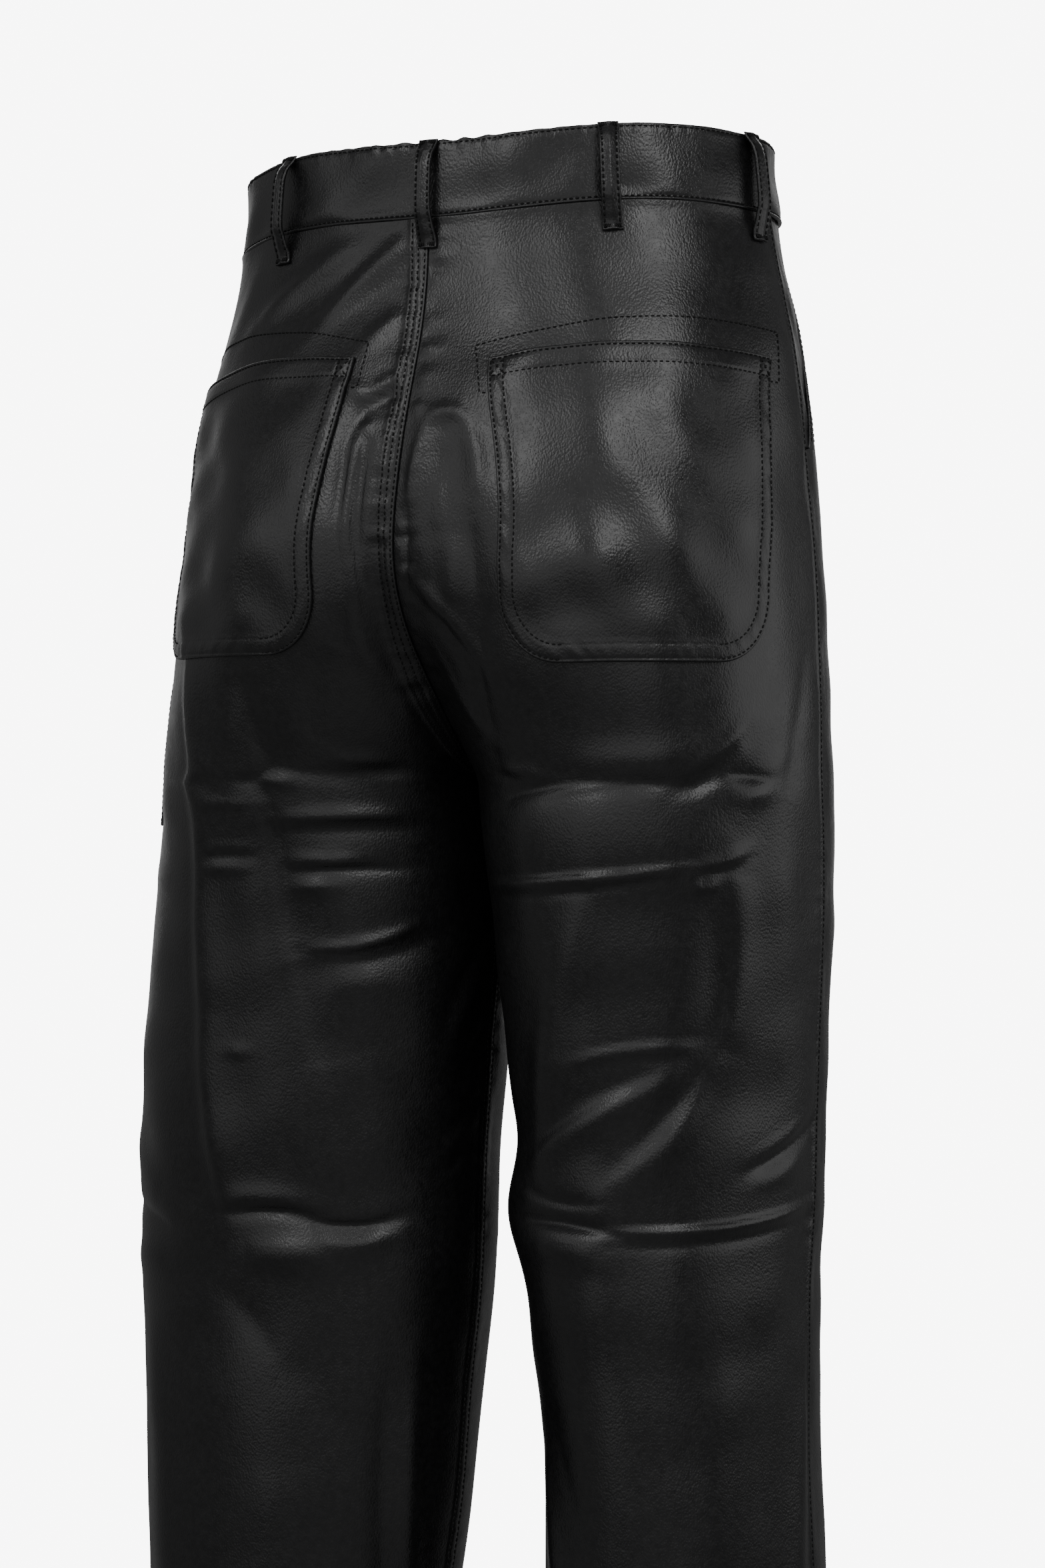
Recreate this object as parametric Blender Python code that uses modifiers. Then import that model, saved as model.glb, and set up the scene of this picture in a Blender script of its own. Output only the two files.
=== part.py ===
"""Black faux leather work trousers, filled out as when worn, as a hollow shell of cut pieces.

Metres, +Z up, the front towards -Y and the wearer's left towards +X. The origin is the
middle of the waistband, where the garment is held. Tables and named sizes are in
millimetres and become metres through MM.
"""

import math

import bmesh
import bpy
import numpy as np
from mathutils import Vector

MM = 0.001

# ---- driving dimensions, in millimetres ----
WALL = 1.5  # faux leather with its woven backing
SEAM_GAP = 0.3  # clearance between neighbouring pieces
WAISTBAND_HEIGHT = 42.0
WAISTBAND_WALL = 3.0
WAISTBAND_PROUD = 0.9  # how far the band stands out of the cloth below it
BAND_UNDERLAP = 36.0  # length of the right end under the left one, past the centre front
BAND_OVERLAP = 8.0
BAND_STEP_START, BAND_STEP_END = 14.0, 44.0  # where the right end steps back out

LOOP_WIDTH = 12.0
LOOP_WALL = 2.0
LOOP_TACK = 0.6  # clear space behind a loop's sewn ends
LOOP_BOW = 6.8  # how much further its middle stands out
LOOP_PROFILE = (  # height, share of the bow
    (-37.5, 0.00), (-33.5, 0.00), (-28.5, 0.38), (-21.5, 0.79), (-14.0, 0.97),
    (-4.0, 1.00), (6.0, 0.97), (13.5, 0.70), (18.0, 0.20), (21.5, 0.00),
)

PATCH_LIFT = 1.0  # clear space under a patch, so its facets stay off the panel's
PATCH_WALL = 1.3
BACK_POCKET_WIDTH = 163.0
BACK_POCKET_HEIGHT = 155.5
BACK_POCKET_TOP_RISE = 3.0  # the top edge's middle is above its corners
BACK_POCKET_CORNER = 34.0
BACK_POCKET_TAPER = 5.0

# The height of each back pocket's top corners, and how far its inner edge is from the seat
# seam, at its top and from 60% down: the seam bends away from the pocket's straight side.
# Columns: side (1 left, -1 right), top_z, from_seam_at_top, from_seam_low.
BACK_POCKETS = ((1, -96.5, 36.0, 42.0), (-1, -102.5, 43.0, 65.0))

THIGH_POCKET_BEHIND = 24.0  # reach of the thigh pocket behind and before the outer seam
THIGH_POCKET_BEFORE = 92.0
THIGH_POCKET_TOP_Z = -199.0
THIGH_POCKET_HEIGHT = 146.0
THIGH_POCKET_WALL = 1.8

MOUTH_TOP_FROM_SEAM = 52.0  # front pocket mouth, from the outer seam at the waistband
MOUTH_BOTTOM_FROM_SEAM = 5.0
MOUTH_BOTTOM_Z = -146.0
MOUTH_END = 1.0  # height over which the mouth's edge turns into the outer seam
FACING_DROP = 1.1  # the pocket's facing lies behind the front panel

FLY_WIDTH = 40.0
FLY_BOTTOM_Z = -190.0
FLY_CORNER = 26.0

BUTTON_RADIUS = 8.5
BUTTON_THICK = 3.0
BUTTON_SIDES = 20
BUTTON_RIM = 0.7
BUTTON_FROM_END = 0.06  # share of the front quarter from the centre front
CROTCH_Z = -318.0
HEM_Z = -1030.0

TILT_SIDEWAYS = -0.055  # rise of the waist towards +X: the wearer's left hip is lower
TILT_BACK = 0.060  # rise of the waist towards +Y: the front rise is lower
TILT_FULL_Z = -70.0
TILT_NONE_Z = -300.0
SAG = 2.0  # the waist dips by this at the seat seam and stands up by it either side of it
SAG_X = -12.0
SAG_SPAN = 105.0
SAG_DEPTH = 60.0  # distance behind the middle at which the sag is whole

COLLECTION = "faux_leather_work_trousers"
LEFT, RIGHT = 1, -1
BACK, FRONT = 1, -1

# ---- section tables ----
# A section is two half ovals a side, a back one and a front one, joined at the outer seam.
# Above the crotch each side stops at the centre seam. centre_share is the oval's centre
# over its half width: 0 at the waist, 1 at the crotch, where each side is a whole tube.
# seat and hip are the back oval's powers, inside and outside its deepest point: under 1 is
# squarer than an ellipse, over 1 is flatter, as where cloth hangs straight off the seat.
TRUNK_COLUMNS = ("z", "middle", "reach_left", "reach_right", "centre_share", "back", "front",
                 "seat", "hip_left", "hip_right")
TRUNK = (
    (22.0, 0.0, 153.5, 151.5, 0.00, 101.0, 98.0, 1.00, 1.00, 1.00),
    (-22.0, 0.0, 158.0, 156.0, 0.00, 103.0, 100.0, 1.00, 1.00, 1.00),
    (-60.0, -1.0, 166.5, 162.5, 0.06, 108.0, 98.0, 0.90, 1.00, 0.95),
    (-85.0, -1.0, 174.5, 168.0, 0.12, 115.0, 95.0, 0.80, 1.05, 0.92),
    (-111.0, 1.0, 181.5, 174.5, 0.20, 123.0, 92.0, 0.72, 1.15, 0.90),
    (-155.0, 5.0, 182.8, 182.8, 0.33, 134.0, 88.0, 0.66, 1.35, 0.90),
    (-203.0, 9.0, 186.2, 192.0, 0.47, 139.0, 85.0, 0.64, 1.50, 0.90),
    (-236.0, 9.0, 190.5, 193.8, 0.59, 135.0, 84.0, 0.66, 1.50, 0.90),
    (-264.0, 8.0, 194.4, 194.0, 0.71, 127.0, 84.0, 0.74, 1.45, 0.90),
    (-298.0, 6.5, 200.6, 193.0, 0.90, 117.0, 86.0, 0.88, 1.35, 0.92),
    (-318.0, 5.5, 201.0, 192.0, 1.00, 111.0, 87.0, 0.96, 1.30, 0.96),
)
# Legs: inner and outer edge of the section, measured outwards from the middle plane.
LEG_COLUMNS = ("z", "inner", "outer", "back", "front", "seam_y", "seat", "hip")
LEFT_LEG = (
    (-318.0, 5.5, 206.5, 111.0, 87.0, 0.0, 0.96, 1.30),
    (-355.0, 6.0, 211.3, 102.0, 90.0, 0.0, 1.00, 1.25),
    (-412.0, 7.5, 217.8, 94.0, 92.0, 0.0, 1.00, 1.20),
    (-488.0, 11.5, 224.0, 88.0, 90.0, 0.0, 1.00, 1.12),
    (-528.0, 14.5, 225.0, 84.0, 88.0, 0.0, 1.00, 1.06),
    (-590.0, 16.5, 223.5, 80.0, 86.0, 0.0, 1.00, 1.00),
    (-664.0, 23.5, 220.5, 78.0, 80.0, 2.0, 1.00, 1.00),
    (-708.0, 26.0, 218.5, 77.0, 76.0, 4.0, 1.00, 1.00),
    (-770.0, 34.0, 215.5, 75.0, 70.0, 6.0, 1.00, 1.00),
    (-900.0, 46.0, 212.0, 73.0, 68.0, 10.0, 1.00, 1.00),
    (-1030.0, 53.0, 209.0, 72.0, 68.0, 14.0, 1.00, 1.00),
)
RIGHT_LEG = (
    (-318.0, -5.5, 186.5, 111.0, 87.0, 0.0, 0.96, 0.96),
    (-345.0, -5.0, 184.5, 122.0, 84.0, -8.0, 1.00, 1.00),
    (-396.0, -1.5, 180.5, 124.0, 78.0, -18.0, 1.00, 1.00),
    (-484.0, 5.5, 174.5, 122.0, 72.0, -25.0, 1.00, 1.00),
    (-512.0, 12.0, 174.0, 118.0, 72.0, -24.0, 1.00, 1.00),
    (-533.0, 7.0, 174.0, 118.0, 72.0, -23.0, 1.00, 1.00),
    (-555.0, 3.0, 173.5, 117.0, 72.0, -22.0, 1.00, 1.00),
    (-587.0, 16.0, 173.5, 110.0, 74.0, -16.0, 1.00, 1.00),
    (-630.0, 22.5, 174.5, 104.0, 76.0, -12.0, 1.00, 1.00),
    (-682.0, 32.0, 176.5, 98.0, 80.0, -6.0, 1.00, 1.00),
    (-760.0, 33.5, 183.0, 90.0, 80.0, 2.0, 1.00, 1.00),
    (-900.0, 44.0, 184.0, 80.0, 74.0, 8.0, 1.00, 1.00),
    (-1030.0, 48.0, 185.0, 78.0, 72.0, 12.0, 1.00, 1.00),
)
FRONT_POWER = 0.95

# ---- folds: soft ridges (+) and troughs (-) along a line on a panel ----
# across is the share of the panel's width from its outer seam.
# Columns: panel, across_a, z_a, across_b, z_b, half_width, height.
FOLDS = (
    # left back: pull beside the seat seam, the facet's ridge, thigh creases, knee creases
    ("back_left", 0.885, -135.0, 0.915, -228.0, 9.0, -4.0),
    ("back_left", 0.915, -228.0, 0.900, -290.0, 11.0, -4.5),
    ("back_left", 0.430, -276.0, 0.367, -350.0, 14.0, 3.0),
    ("back_left", 0.367, -350.0, 0.421, -514.0, 15.0, 3.5),
    ("back_left", 0.617, -278.0, 0.525, -344.0, 15.0, -4.0),
    ("back_left", 0.525, -344.0, 0.588, -416.0, 14.0, -3.5),
    ("back_left", 0.604, -316.0, 0.821, -314.0, 11.0, -3.0),
    ("back_left", 0.554, -341.0, 0.775, -340.0, 11.0, 4.0),
    ("back_left", 0.571, -368.0, 0.775, -368.0, 11.0, -4.0),
    ("back_left", 0.621, -410.0, 0.817, -400.0, 13.0, 3.5),
    ("back_left", 0.467, -558.0, 0.787, -557.0, 11.0, -4.0),
    ("back_left", 0.480, -578.0, 0.740, -576.0, 12.0, 4.0),
    ("back_left", 0.050, -532.0, 0.240, -550.0, 13.0, 1.5),
    # right back: pull beside the seat seam, creases under the seat, ridges down to the knee
    ("back_right", 0.905, -140.0, 0.890, -262.0, 10.0, -3.5),
    ("back_right", 0.610, -333.0, 0.329, -326.0, 11.0, -4.5),
    ("back_right", 0.329, -326.0, 0.271, -294.0, 11.0, -3.5),
    ("back_right", 0.560, -311.0, 0.300, -306.0, 12.0, 2.5),
    ("back_right", 0.700, -374.0, 0.358, -365.0, 11.0, 4.0),
    ("back_right", 0.680, -392.0, 0.400, -386.0, 12.0, -2.5),
    ("back_right", 0.229, -362.0, 0.263, -466.0, 15.0, 4.0),
    ("back_right", 0.263, -466.0, 0.462, -538.0, 14.0, 3.5),
    ("back_right", 0.492, -380.0, 0.571, -458.0, 15.0, 2.5),
    ("back_right", 0.646, -530.0, 0.321, -474.0, 15.0, 5.0),
    ("back_right", 0.625, -556.0, 0.470, -560.0, 10.0, -4.0),
    ("back_right", 0.442, -558.0, 0.100, -547.0, 11.0, 4.0),
    ("back_right", 0.196, -528.0, 0.060, -515.0, 11.0, 3.0),
    ("back_right", 0.754, -680.0, 0.600, -860.0, 16.0, 3.0),
    ("back_right", 0.060, -690.0, 0.120, -900.0, 16.0, 3.0),
    # fronts: pulls from the crotch, creases over the knees, soft ridges below them
    ("front_left", 0.900, -296.0, 0.480, -262.0, 14.0, 3.5),
    ("front_left", 0.900, -330.0, 0.520, -316.0, 13.0, -3.5),
    ("front_left", 0.880, -368.0, 0.560, -382.0, 13.0, 3.0),
    ("front_left", 0.200, -540.0, 0.780, -552.0, 14.0, 4.5),
    ("front_left", 0.300, -572.0, 0.820, -566.0, 13.0, -4.0),
    ("front_left", 0.420, -620.0, 0.520, -860.0, 18.0, 3.0),
    ("front_right", 0.880, -288.0, 0.440, -250.0, 14.0, 3.0),
    ("front_right", 0.900, -322.0, 0.500, -312.0, 13.0, -3.5),
    ("front_right", 0.860, -360.0, 0.480, -344.0, 13.0, 3.5),
    ("front_right", 0.180, -552.0, 0.760, -536.0, 14.0, 4.5),
    ("front_right", 0.240, -578.0, 0.700, -584.0, 13.0, -4.0),
    ("front_right", 0.540, -610.0, 0.460, -900.0, 18.0, 3.0),
)
FOLD_METRIC_WIDTH = 270.0  # mm that a whole panel's width counts as in a fold's distance
SEAM_CALM = 12.0  # folds die out this close to a panel's seams

# Belt loops: from_seam is the share of the quarter's length from the outer seam, bow the
# share of LOOP_BOW that a loop stands out. Columns: name, side, face, from_seam, bow.
LOOPS = (
    ("belt_loop_centre_back", LEFT, BACK, 1.00, 1.0),
    ("belt_loop_back_left", LEFT, BACK, 0.52, 1.0),
    ("belt_loop_back_right", RIGHT, BACK, 0.51, 1.0),
    ("belt_loop_side_left", LEFT, FRONT, 0.02, 0.85),
    ("belt_loop_side_right", RIGHT, BACK, 0.08, 0.80),
    ("belt_loop_front_left", LEFT, FRONT, 0.58, 1.0),
    ("belt_loop_front_right", RIGHT, FRONT, 0.58, 1.0),
)

# ---- mesh densities ----
PANEL_COLUMNS = {BACK: 16, FRONT: 12}
BAND_COLUMNS, BAND_ROWS = 73, 3
LOOP_STRIPS = 3
POCKET_COLUMNS, POCKET_STRAIGHT_ROWS, CORNER_ROWS = 17, 7, 4
THIGH_COLUMNS, THIGH_ROWS = 13, 9
FACING_COLUMNS, FACING_ROWS = 5, 8
FLY_COLUMNS, FLY_STRAIGHT_ROWS = 5, 8
PANEL_ROWS = (  # down to this height, in steps of this
    (-280.0, 22.0), (-420.0, 10.0), (-600.0, 14.0), (HEM_Z, 40.0),
)
ARC_SAMPLES = 97


def column_curve(table, column):
    """A table's column as a smooth curve of z: cubic Hermite with limited slopes."""
    rows = np.array(table, dtype=float)[::-1]
    z, value = rows[:, 0], rows[:, column]
    step = np.diff(z)
    slope = np.diff(value) / step
    tangent = np.zeros_like(value)
    tangent[0], tangent[-1] = slope[0], slope[-1]
    for i in range(1, len(value) - 1):
        if slope[i - 1] * slope[i] > 0:
            before, after = 2 * step[i] + step[i - 1], step[i] + 2 * step[i - 1]
            tangent[i] = (before + after) / (before / slope[i - 1] + after / slope[i])

    def at(where):
        where = np.clip(where, z[0], z[-1])
        i = np.clip(np.searchsorted(z, where) - 1, 0, len(step) - 1)
        t = (where - z[i]) / step[i]
        return (
            value[i] * (1 + 2 * t) * (1 - t) ** 2
            + step[i] * tangent[i] * t * (1 - t) ** 2
            + value[i + 1] * t**2 * (3 - 2 * t)
            + step[i] * tangent[i + 1] * t**2 * (t - 1)
        )

    return at


def curves_of(table, columns):
    return {name: column_curve(table, i) for i, name in enumerate(columns) if i}


TRUNK_AT = curves_of(TRUNK, TRUNK_COLUMNS)
LEG_AT = {LEFT: curves_of(LEFT_LEG, LEG_COLUMNS), RIGHT: curves_of(RIGHT_LEG, LEG_COLUMNS)}


def smoothstep(low, high, value):
    t = np.clip((value - low) / (high - low), 0.0, 1.0)
    return t * t * (3 - 2 * t)


def section(side, face, z):
    """The half oval of one side at height z: middle plane, centre, half sizes, end angle."""
    trunk = z > CROTCH_Z
    name = "left" if side == LEFT else "right"
    reach, hip = TRUNK_AT["reach_" + name](z), TRUNK_AT["hip_" + name](z)
    share = np.clip(TRUNK_AT["centre_share"](z), 0.0, 1.0)
    leg = LEG_AT[side]
    depth = "back" if face == BACK else "front"
    inner, outer = leg["inner"](z), leg["outer"](z)
    half = np.where(trunk, reach / (1 + share), (outer - inner) / 2)
    centre = np.where(trunk, share * half, (outer + inner) / 2)
    seat = np.where(trunk, TRUNK_AT["seat"](z), leg["seat"](z))
    hip = np.where(trunk, hip, leg["hip"](z))
    return {
        "middle": np.where(trunk, TRUNK_AT["middle"](z), 0.0),
        "centre": centre + SEAM_GAP / 2,
        "half": half,
        "depth": np.where(trunk, TRUNK_AT[depth](z), leg[depth](z)),
        "seam_y": np.where(trunk, 0.0, leg["seam_y"](z)),
        "inner_power": seat if face == BACK else np.full_like(seat, FRONT_POWER),
        "outer_power": hip if face == BACK else np.full_like(hip, FRONT_POWER),
        "end": np.where(trunk, np.arccos(-share), math.pi),
    }


def tilt(points):
    """Leans the waist sideways and forward, less and less towards the crotch."""
    x, y, z = points[..., 0], points[..., 1], points[..., 2]
    held = smoothstep(TILT_NONE_Z, TILT_FULL_Z, z)
    sag = SAG * np.cos(math.pi * (x - SAG_X) / SAG_SPAN) * smoothstep(0.0, SAG_DEPTH, y)
    return np.stack([x, y, z + held * (TILT_SIDEWAYS * x + TILT_BACK * y - sag)], axis=-1)


def plain_surface(side, face, across, z):
    """Points of a side's back or front: across runs 0 to 1 along the arc from the outer seam."""
    across, z = np.broadcast_arrays(np.asarray(across, float), np.asarray(z, float))
    flat_across, flat_z = across.ravel(), z.ravel()
    cut = section(side, face, flat_z)
    angle = np.linspace(0.0, 1.0, ARC_SAMPLES) * cut["end"][:, None]
    x = cut["centre"][:, None] + cut["half"][:, None] * np.cos(angle)
    power = np.where(angle < math.pi / 2, cut["outer_power"][:, None], cut["inner_power"][:, None])
    rise = np.clip(np.sin(angle), 0.0, 1.0) ** power
    y = cut["seam_y"][:, None] + face * cut["depth"][:, None] * rise
    arc = np.concatenate(
        [np.zeros((len(flat_z), 1)), np.cumsum(np.hypot(np.diff(x), np.diff(y)), axis=1)], axis=1
    )
    wanted = flat_across * arc[:, -1]
    i = np.clip((arc < wanted[:, None]).sum(axis=1) - 1, 0, ARC_SAMPLES - 2)
    row = np.arange(len(flat_z))
    t = (wanted - arc[row, i]) / (arc[row, i + 1] - arc[row, i])
    px = x[row, i] + t * (x[row, i + 1] - x[row, i])
    py = y[row, i] + t * (y[row, i + 1] - y[row, i])
    points = np.stack([cut["middle"] + side * px, py, flat_z], axis=-1)
    return tilt(points).reshape(across.shape + (3,))


def arc_length(side, face, z):
    """Length of a panel across at height z, from the outer seam to its inner edge."""
    line = plain_surface(side, face, np.linspace(0, 1, ARC_SAMPLES), z)
    return float(np.linalg.norm(np.diff(line, axis=0), axis=1).sum())


def outward(side, face, across, z):
    """Unit normals of the plain surface, pointing out of the garment."""
    nudge_across, nudge_z = 0.004, 1.0
    low, high = np.clip(across - nudge_across, 0, 1), np.clip(across + nudge_across, 0, 1)
    sideways = plain_surface(side, face, high, z) - plain_surface(side, face, low, z)
    up = plain_surface(side, face, across, z + nudge_z) - plain_surface(side, face, across, z - nudge_z)
    normal = np.cross(sideways, up) * side * face
    return normal / np.linalg.norm(normal, axis=-1, keepdims=True)


def fold_height(panel, across, z):
    """Height in mm that a panel's folds give at a point."""
    total = np.zeros(np.broadcast(across, z).shape)
    for name, across_a, z_a, across_b, z_b, half_width, height in FOLDS:
        if name != panel:
            continue
        start = np.array([across_a * FOLD_METRIC_WIDTH, z_a])
        run = np.array([across_b * FOLD_METRIC_WIDTH, z_b]) - start
        dx, dz = across * FOLD_METRIC_WIDTH - start[0], z - start[1]
        along = np.clip((dx * run[0] + dz * run[1]) / (run @ run), 0.0, 1.0)
        distance = np.hypot(dx - along * run[0], dz - along * run[1])
        taper = np.sin(np.pi * np.clip(along, 0.02, 0.98)) ** 0.5
        total += height * taper * np.exp(-((distance / half_width) ** 2))
    edge = np.minimum(across, 1 - across) * FOLD_METRIC_WIDTH
    return total * smoothstep(0.0, SEAM_CALM, edge)


def panel_name(side, face):
    return ("back" if face == BACK else "front") + ("_left" if side == LEFT else "_right")


def surface(side, face, across, z, out=0.0):
    """Points of the finished cloth surface, moved out by some millimetres."""
    lift = fold_height(panel_name(side, face), across, z) + out
    return plain_surface(side, face, across, z) + outward(side, face, across, z) * lift[..., None]


def edge_gap(side, face, z):
    """Half the seam gap as a share of the panel's width."""
    return np.array([SEAM_GAP / 2 / arc_length(side, face, value) for value in z])


def mouth_from_seam(z):
    """How far the front pocket's mouth is from the outer seam at height z, 0 below it."""
    top = -WAISTBAND_HEIGHT / 2
    share = np.clip((z - MOUTH_BOTTOM_Z) / (top - MOUTH_BOTTOM_Z), 0.0, 1.0)
    slant = MOUTH_BOTTOM_FROM_SEAM + share * (MOUTH_TOP_FROM_SEAM - MOUTH_BOTTOM_FROM_SEAM)
    return np.where(z >= MOUTH_BOTTOM_Z, slant, 0.0)


def panel_rows(top, face):
    """Heights of a panel's rows: close together round the crotch, wider along the leg."""
    heights = [top]
    for down_to, step in PANEL_ROWS:
        count = round((heights[-1] - down_to) / step)
        heights += list(np.linspace(heights[-1], down_to, count + 1)[1:])
    for level in (CROTCH_Z, MOUTH_BOTTOM_Z):
        nearest = min(range(len(heights)), key=lambda i: abs(heights[i] - level))
        heights[nearest] = level
    if face == FRONT:
        heights.append(MOUTH_BOTTOM_Z - MOUTH_END)
    return np.array(sorted(heights, reverse=True))


# ---- building solids ----


def clear_scene():
    for obj in list(bpy.data.objects):
        bpy.data.objects.remove(obj, do_unlink=True)


def make_material(name, colour, roughness, metallic=0.0):
    material = bpy.data.materials.new(name)
    material.use_nodes = True
    shader = material.node_tree.nodes["Principled BSDF"]
    shader.inputs["Base Color"].default_value = (*colour, 1.0)
    shader.inputs["Roughness"].default_value = roughness
    shader.inputs["Metallic"].default_value = metallic
    material.diffuse_color = (*colour, 1.0)
    return material


def add_object(name, mesh, material):
    mesh.materials.append(material)
    mesh.shade_smooth()
    obj = bpy.data.objects.new(name, mesh)
    bpy.data.collections[COLLECTION].objects.link(obj)
    return obj


def cloth(name, outer, inner, material, closed=False):
    """A wall of cloth between two grids of points, its borders closed all round."""
    rows, columns = outer.shape[:2]
    bm = bmesh.new()
    walls = [
        [[bm.verts.new(Vector(point) * MM) for point in row] for row in grid]
        for grid in (outer, inner)
    ]
    steps = range(columns if closed else columns - 1)
    for grid in walls:
        for i in range(rows - 1):
            for j in steps:
                k = (j + 1) % columns
                bm.faces.new((grid[i][j], grid[i + 1][j], grid[i + 1][k], grid[i][k]))
    out, back = walls
    for i in (0, rows - 1):
        for j in steps:
            k = (j + 1) % columns
            bm.faces.new((out[i][j], out[i][k], back[i][k], back[i][j]))
    for j in () if closed else (0, columns - 1):
        for i in range(rows - 1):
            bm.faces.new((out[i][j], out[i + 1][j], back[i + 1][j], back[i][j]))
    bmesh.ops.recalc_face_normals(bm, faces=bm.faces)
    mesh = bpy.data.meshes.new(name)
    bm.to_mesh(mesh)
    bm.free()
    return add_object(name, mesh, material)


def front_start(side, z):
    """Where a front panel starts, as a share of its section: at its pocket mouth or its seam."""
    width = np.array([arc_length(side, FRONT, value) for value in z])
    return (mouth_from_seam(z) + SEAM_GAP / 2) / width


def add_panels(material):
    """The four leg panels: back and front, left and right, from waist seam to hem."""
    for side in (LEFT, RIGHT):
        for face in (BACK, FRONT):
            rows = panel_rows(-WAISTBAND_HEIGHT / 2 - SEAM_GAP / 2, face)
            gap = edge_gap(side, face, rows)[:, None]
            start = gap if face == BACK else front_start(side, rows)[:, None]
            share = np.linspace(0.0, 1.0, PANEL_COLUMNS[face] + 1)[None, :]
            across = start + share * (1 - gap - start)
            z = np.broadcast_to(rows[:, None], across.shape)
            outer = surface(side, face, across, z)
            inner = surface(side, face, across, z, -WALL)
            cloth(panel_name(side, face), outer, inner, material)


def add_facings(material):
    """The piece of cloth seen in each front pocket's mouth, between it and the outer seam."""
    z = np.linspace(-WAISTBAND_HEIGHT / 2 - SEAM_GAP / 2, MOUTH_BOTTOM_Z + SEAM_GAP, FACING_ROWS)
    for side, name in ((LEFT, "left"), (RIGHT, "right")):
        width = np.array([arc_length(side, FRONT, value) for value in z])
        start = SEAM_GAP / 2 / width
        end = (mouth_from_seam(z) - SEAM_GAP / 2) / width
        across = start[:, None] + np.linspace(0, 1, FACING_COLUMNS)[None, :] * (end - start)[:, None]
        heights = np.broadcast_to(z[:, None], across.shape)
        outer = surface(side, FRONT, across, heights, -FACING_DROP)
        inner = surface(side, FRONT, across, heights, -FACING_DROP - WALL)
        cloth("pocket_facing_" + name, outer, inner, material)


def ring_points(distance, z, out):
    """Points round the waist: distance in mm from the centre front, by the wearer's right."""
    quarters = ((RIGHT, FRONT, True), (RIGHT, BACK, False), (LEFT, BACK, True), (LEFT, FRONT, False))
    lengths = [arc_length(side, face, 0.0) for side, face, _ in quarters]
    distance = distance % sum(lengths)
    points = np.zeros(distance.shape + (3,))
    begin = 0.0
    for (side, face, inwards_first), length in zip(quarters, lengths):
        here = (distance >= begin) & (distance < begin + length)
        share = (distance[here] - begin) / length
        across = 1 - share if inwards_first else share
        lift = np.broadcast_to(out, distance.shape)[here]
        points[here] = surface(side, face, across, z[here], lift)
        begin += length
    return points


def add_waistband(material):
    """One strip round the waist, its left front end lapped over its right one."""
    around = sum(arc_length(side, face, 0.0) for side in (LEFT, RIGHT) for face in (BACK, FRONT))
    distance = np.linspace(-BAND_UNDERLAP, around + BAND_OVERLAP, BAND_COLUMNS)
    z = np.linspace(WAISTBAND_HEIGHT / 2, -WAISTBAND_HEIGHT / 2 + SEAM_GAP / 2, BAND_ROWS)
    distance, z = np.meshgrid(distance, z)
    step_in = WAISTBAND_WALL + SEAM_GAP
    lap = step_in * (smoothstep(BAND_STEP_START, BAND_STEP_END, distance) - 1)
    outer = ring_points(distance, z, WAISTBAND_PROUD + lap)
    inner = ring_points(distance, z, WAISTBAND_PROUD + lap - WAISTBAND_WALL)
    cloth("waistband", outer, inner, material)


def add_loops(material):
    """Seven belt loops: centre back, two back, two at the sides, two in front."""
    height, bow_share = (np.array(column)[:, None] for column in zip(*LOOP_PROFILE))
    on_band = np.where(height > -WAISTBAND_HEIGHT / 2 - LOOP_TACK, WAISTBAND_PROUD, 0.0)
    offset = np.linspace(-LOOP_WIDTH / 2, LOOP_WIDTH / 2, LOOP_STRIPS)[None, :]
    z = height + np.zeros_like(offset)
    for name, side, face, from_seam, bow in LOOPS:
        length = np.vectorize(lambda value: arc_length(side, face, value))(height)
        distance = from_seam * length + offset
        lift = LOOP_TACK + on_band + bow * LOOP_BOW * bow_share + np.zeros_like(offset)
        outer = round_points(side, face, distance, z, lift + LOOP_WALL)
        inner = round_points(side, face, distance, z, lift)
        cloth(name, outer, inner, material)


def round_points(side, face, from_seam, z, out):
    """Points by their distance in mm from the outer seam, carried on past either seam."""
    length = np.vectorize(lambda value: arc_length(side, face, value))(z[:, :1])
    share = from_seam / length
    points = surface(side, face, np.clip(share, 0.0, 1.0), z, out)
    before = surface(side, -face, np.clip(-share, 0.0, 1.0), z, out)
    past = surface(-side, face, np.clip(2 - share, 0.0, 1.0), z, out)
    points = np.where((share < 0)[..., None], before, points)
    return np.where((share > 1)[..., None], past, points)


def rounded_rows(height, corner, straight_rows):
    """Heights below a pocket's top edge, close together in the rounded lower corners."""
    straight = np.linspace(0.0, height - corner, straight_rows)
    turn = np.sin(np.linspace(0.0, math.pi / 2, CORNER_ROWS + 1)[1:])
    return np.concatenate([straight, height - corner + corner * turn])


def corner_inset(drop, height, corner):
    """How far a side edge has come in where the lower corner rounds off."""
    into = np.clip(drop - (height - corner), 0.0, corner)
    return corner - np.sqrt(corner**2 - into**2)


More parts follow.
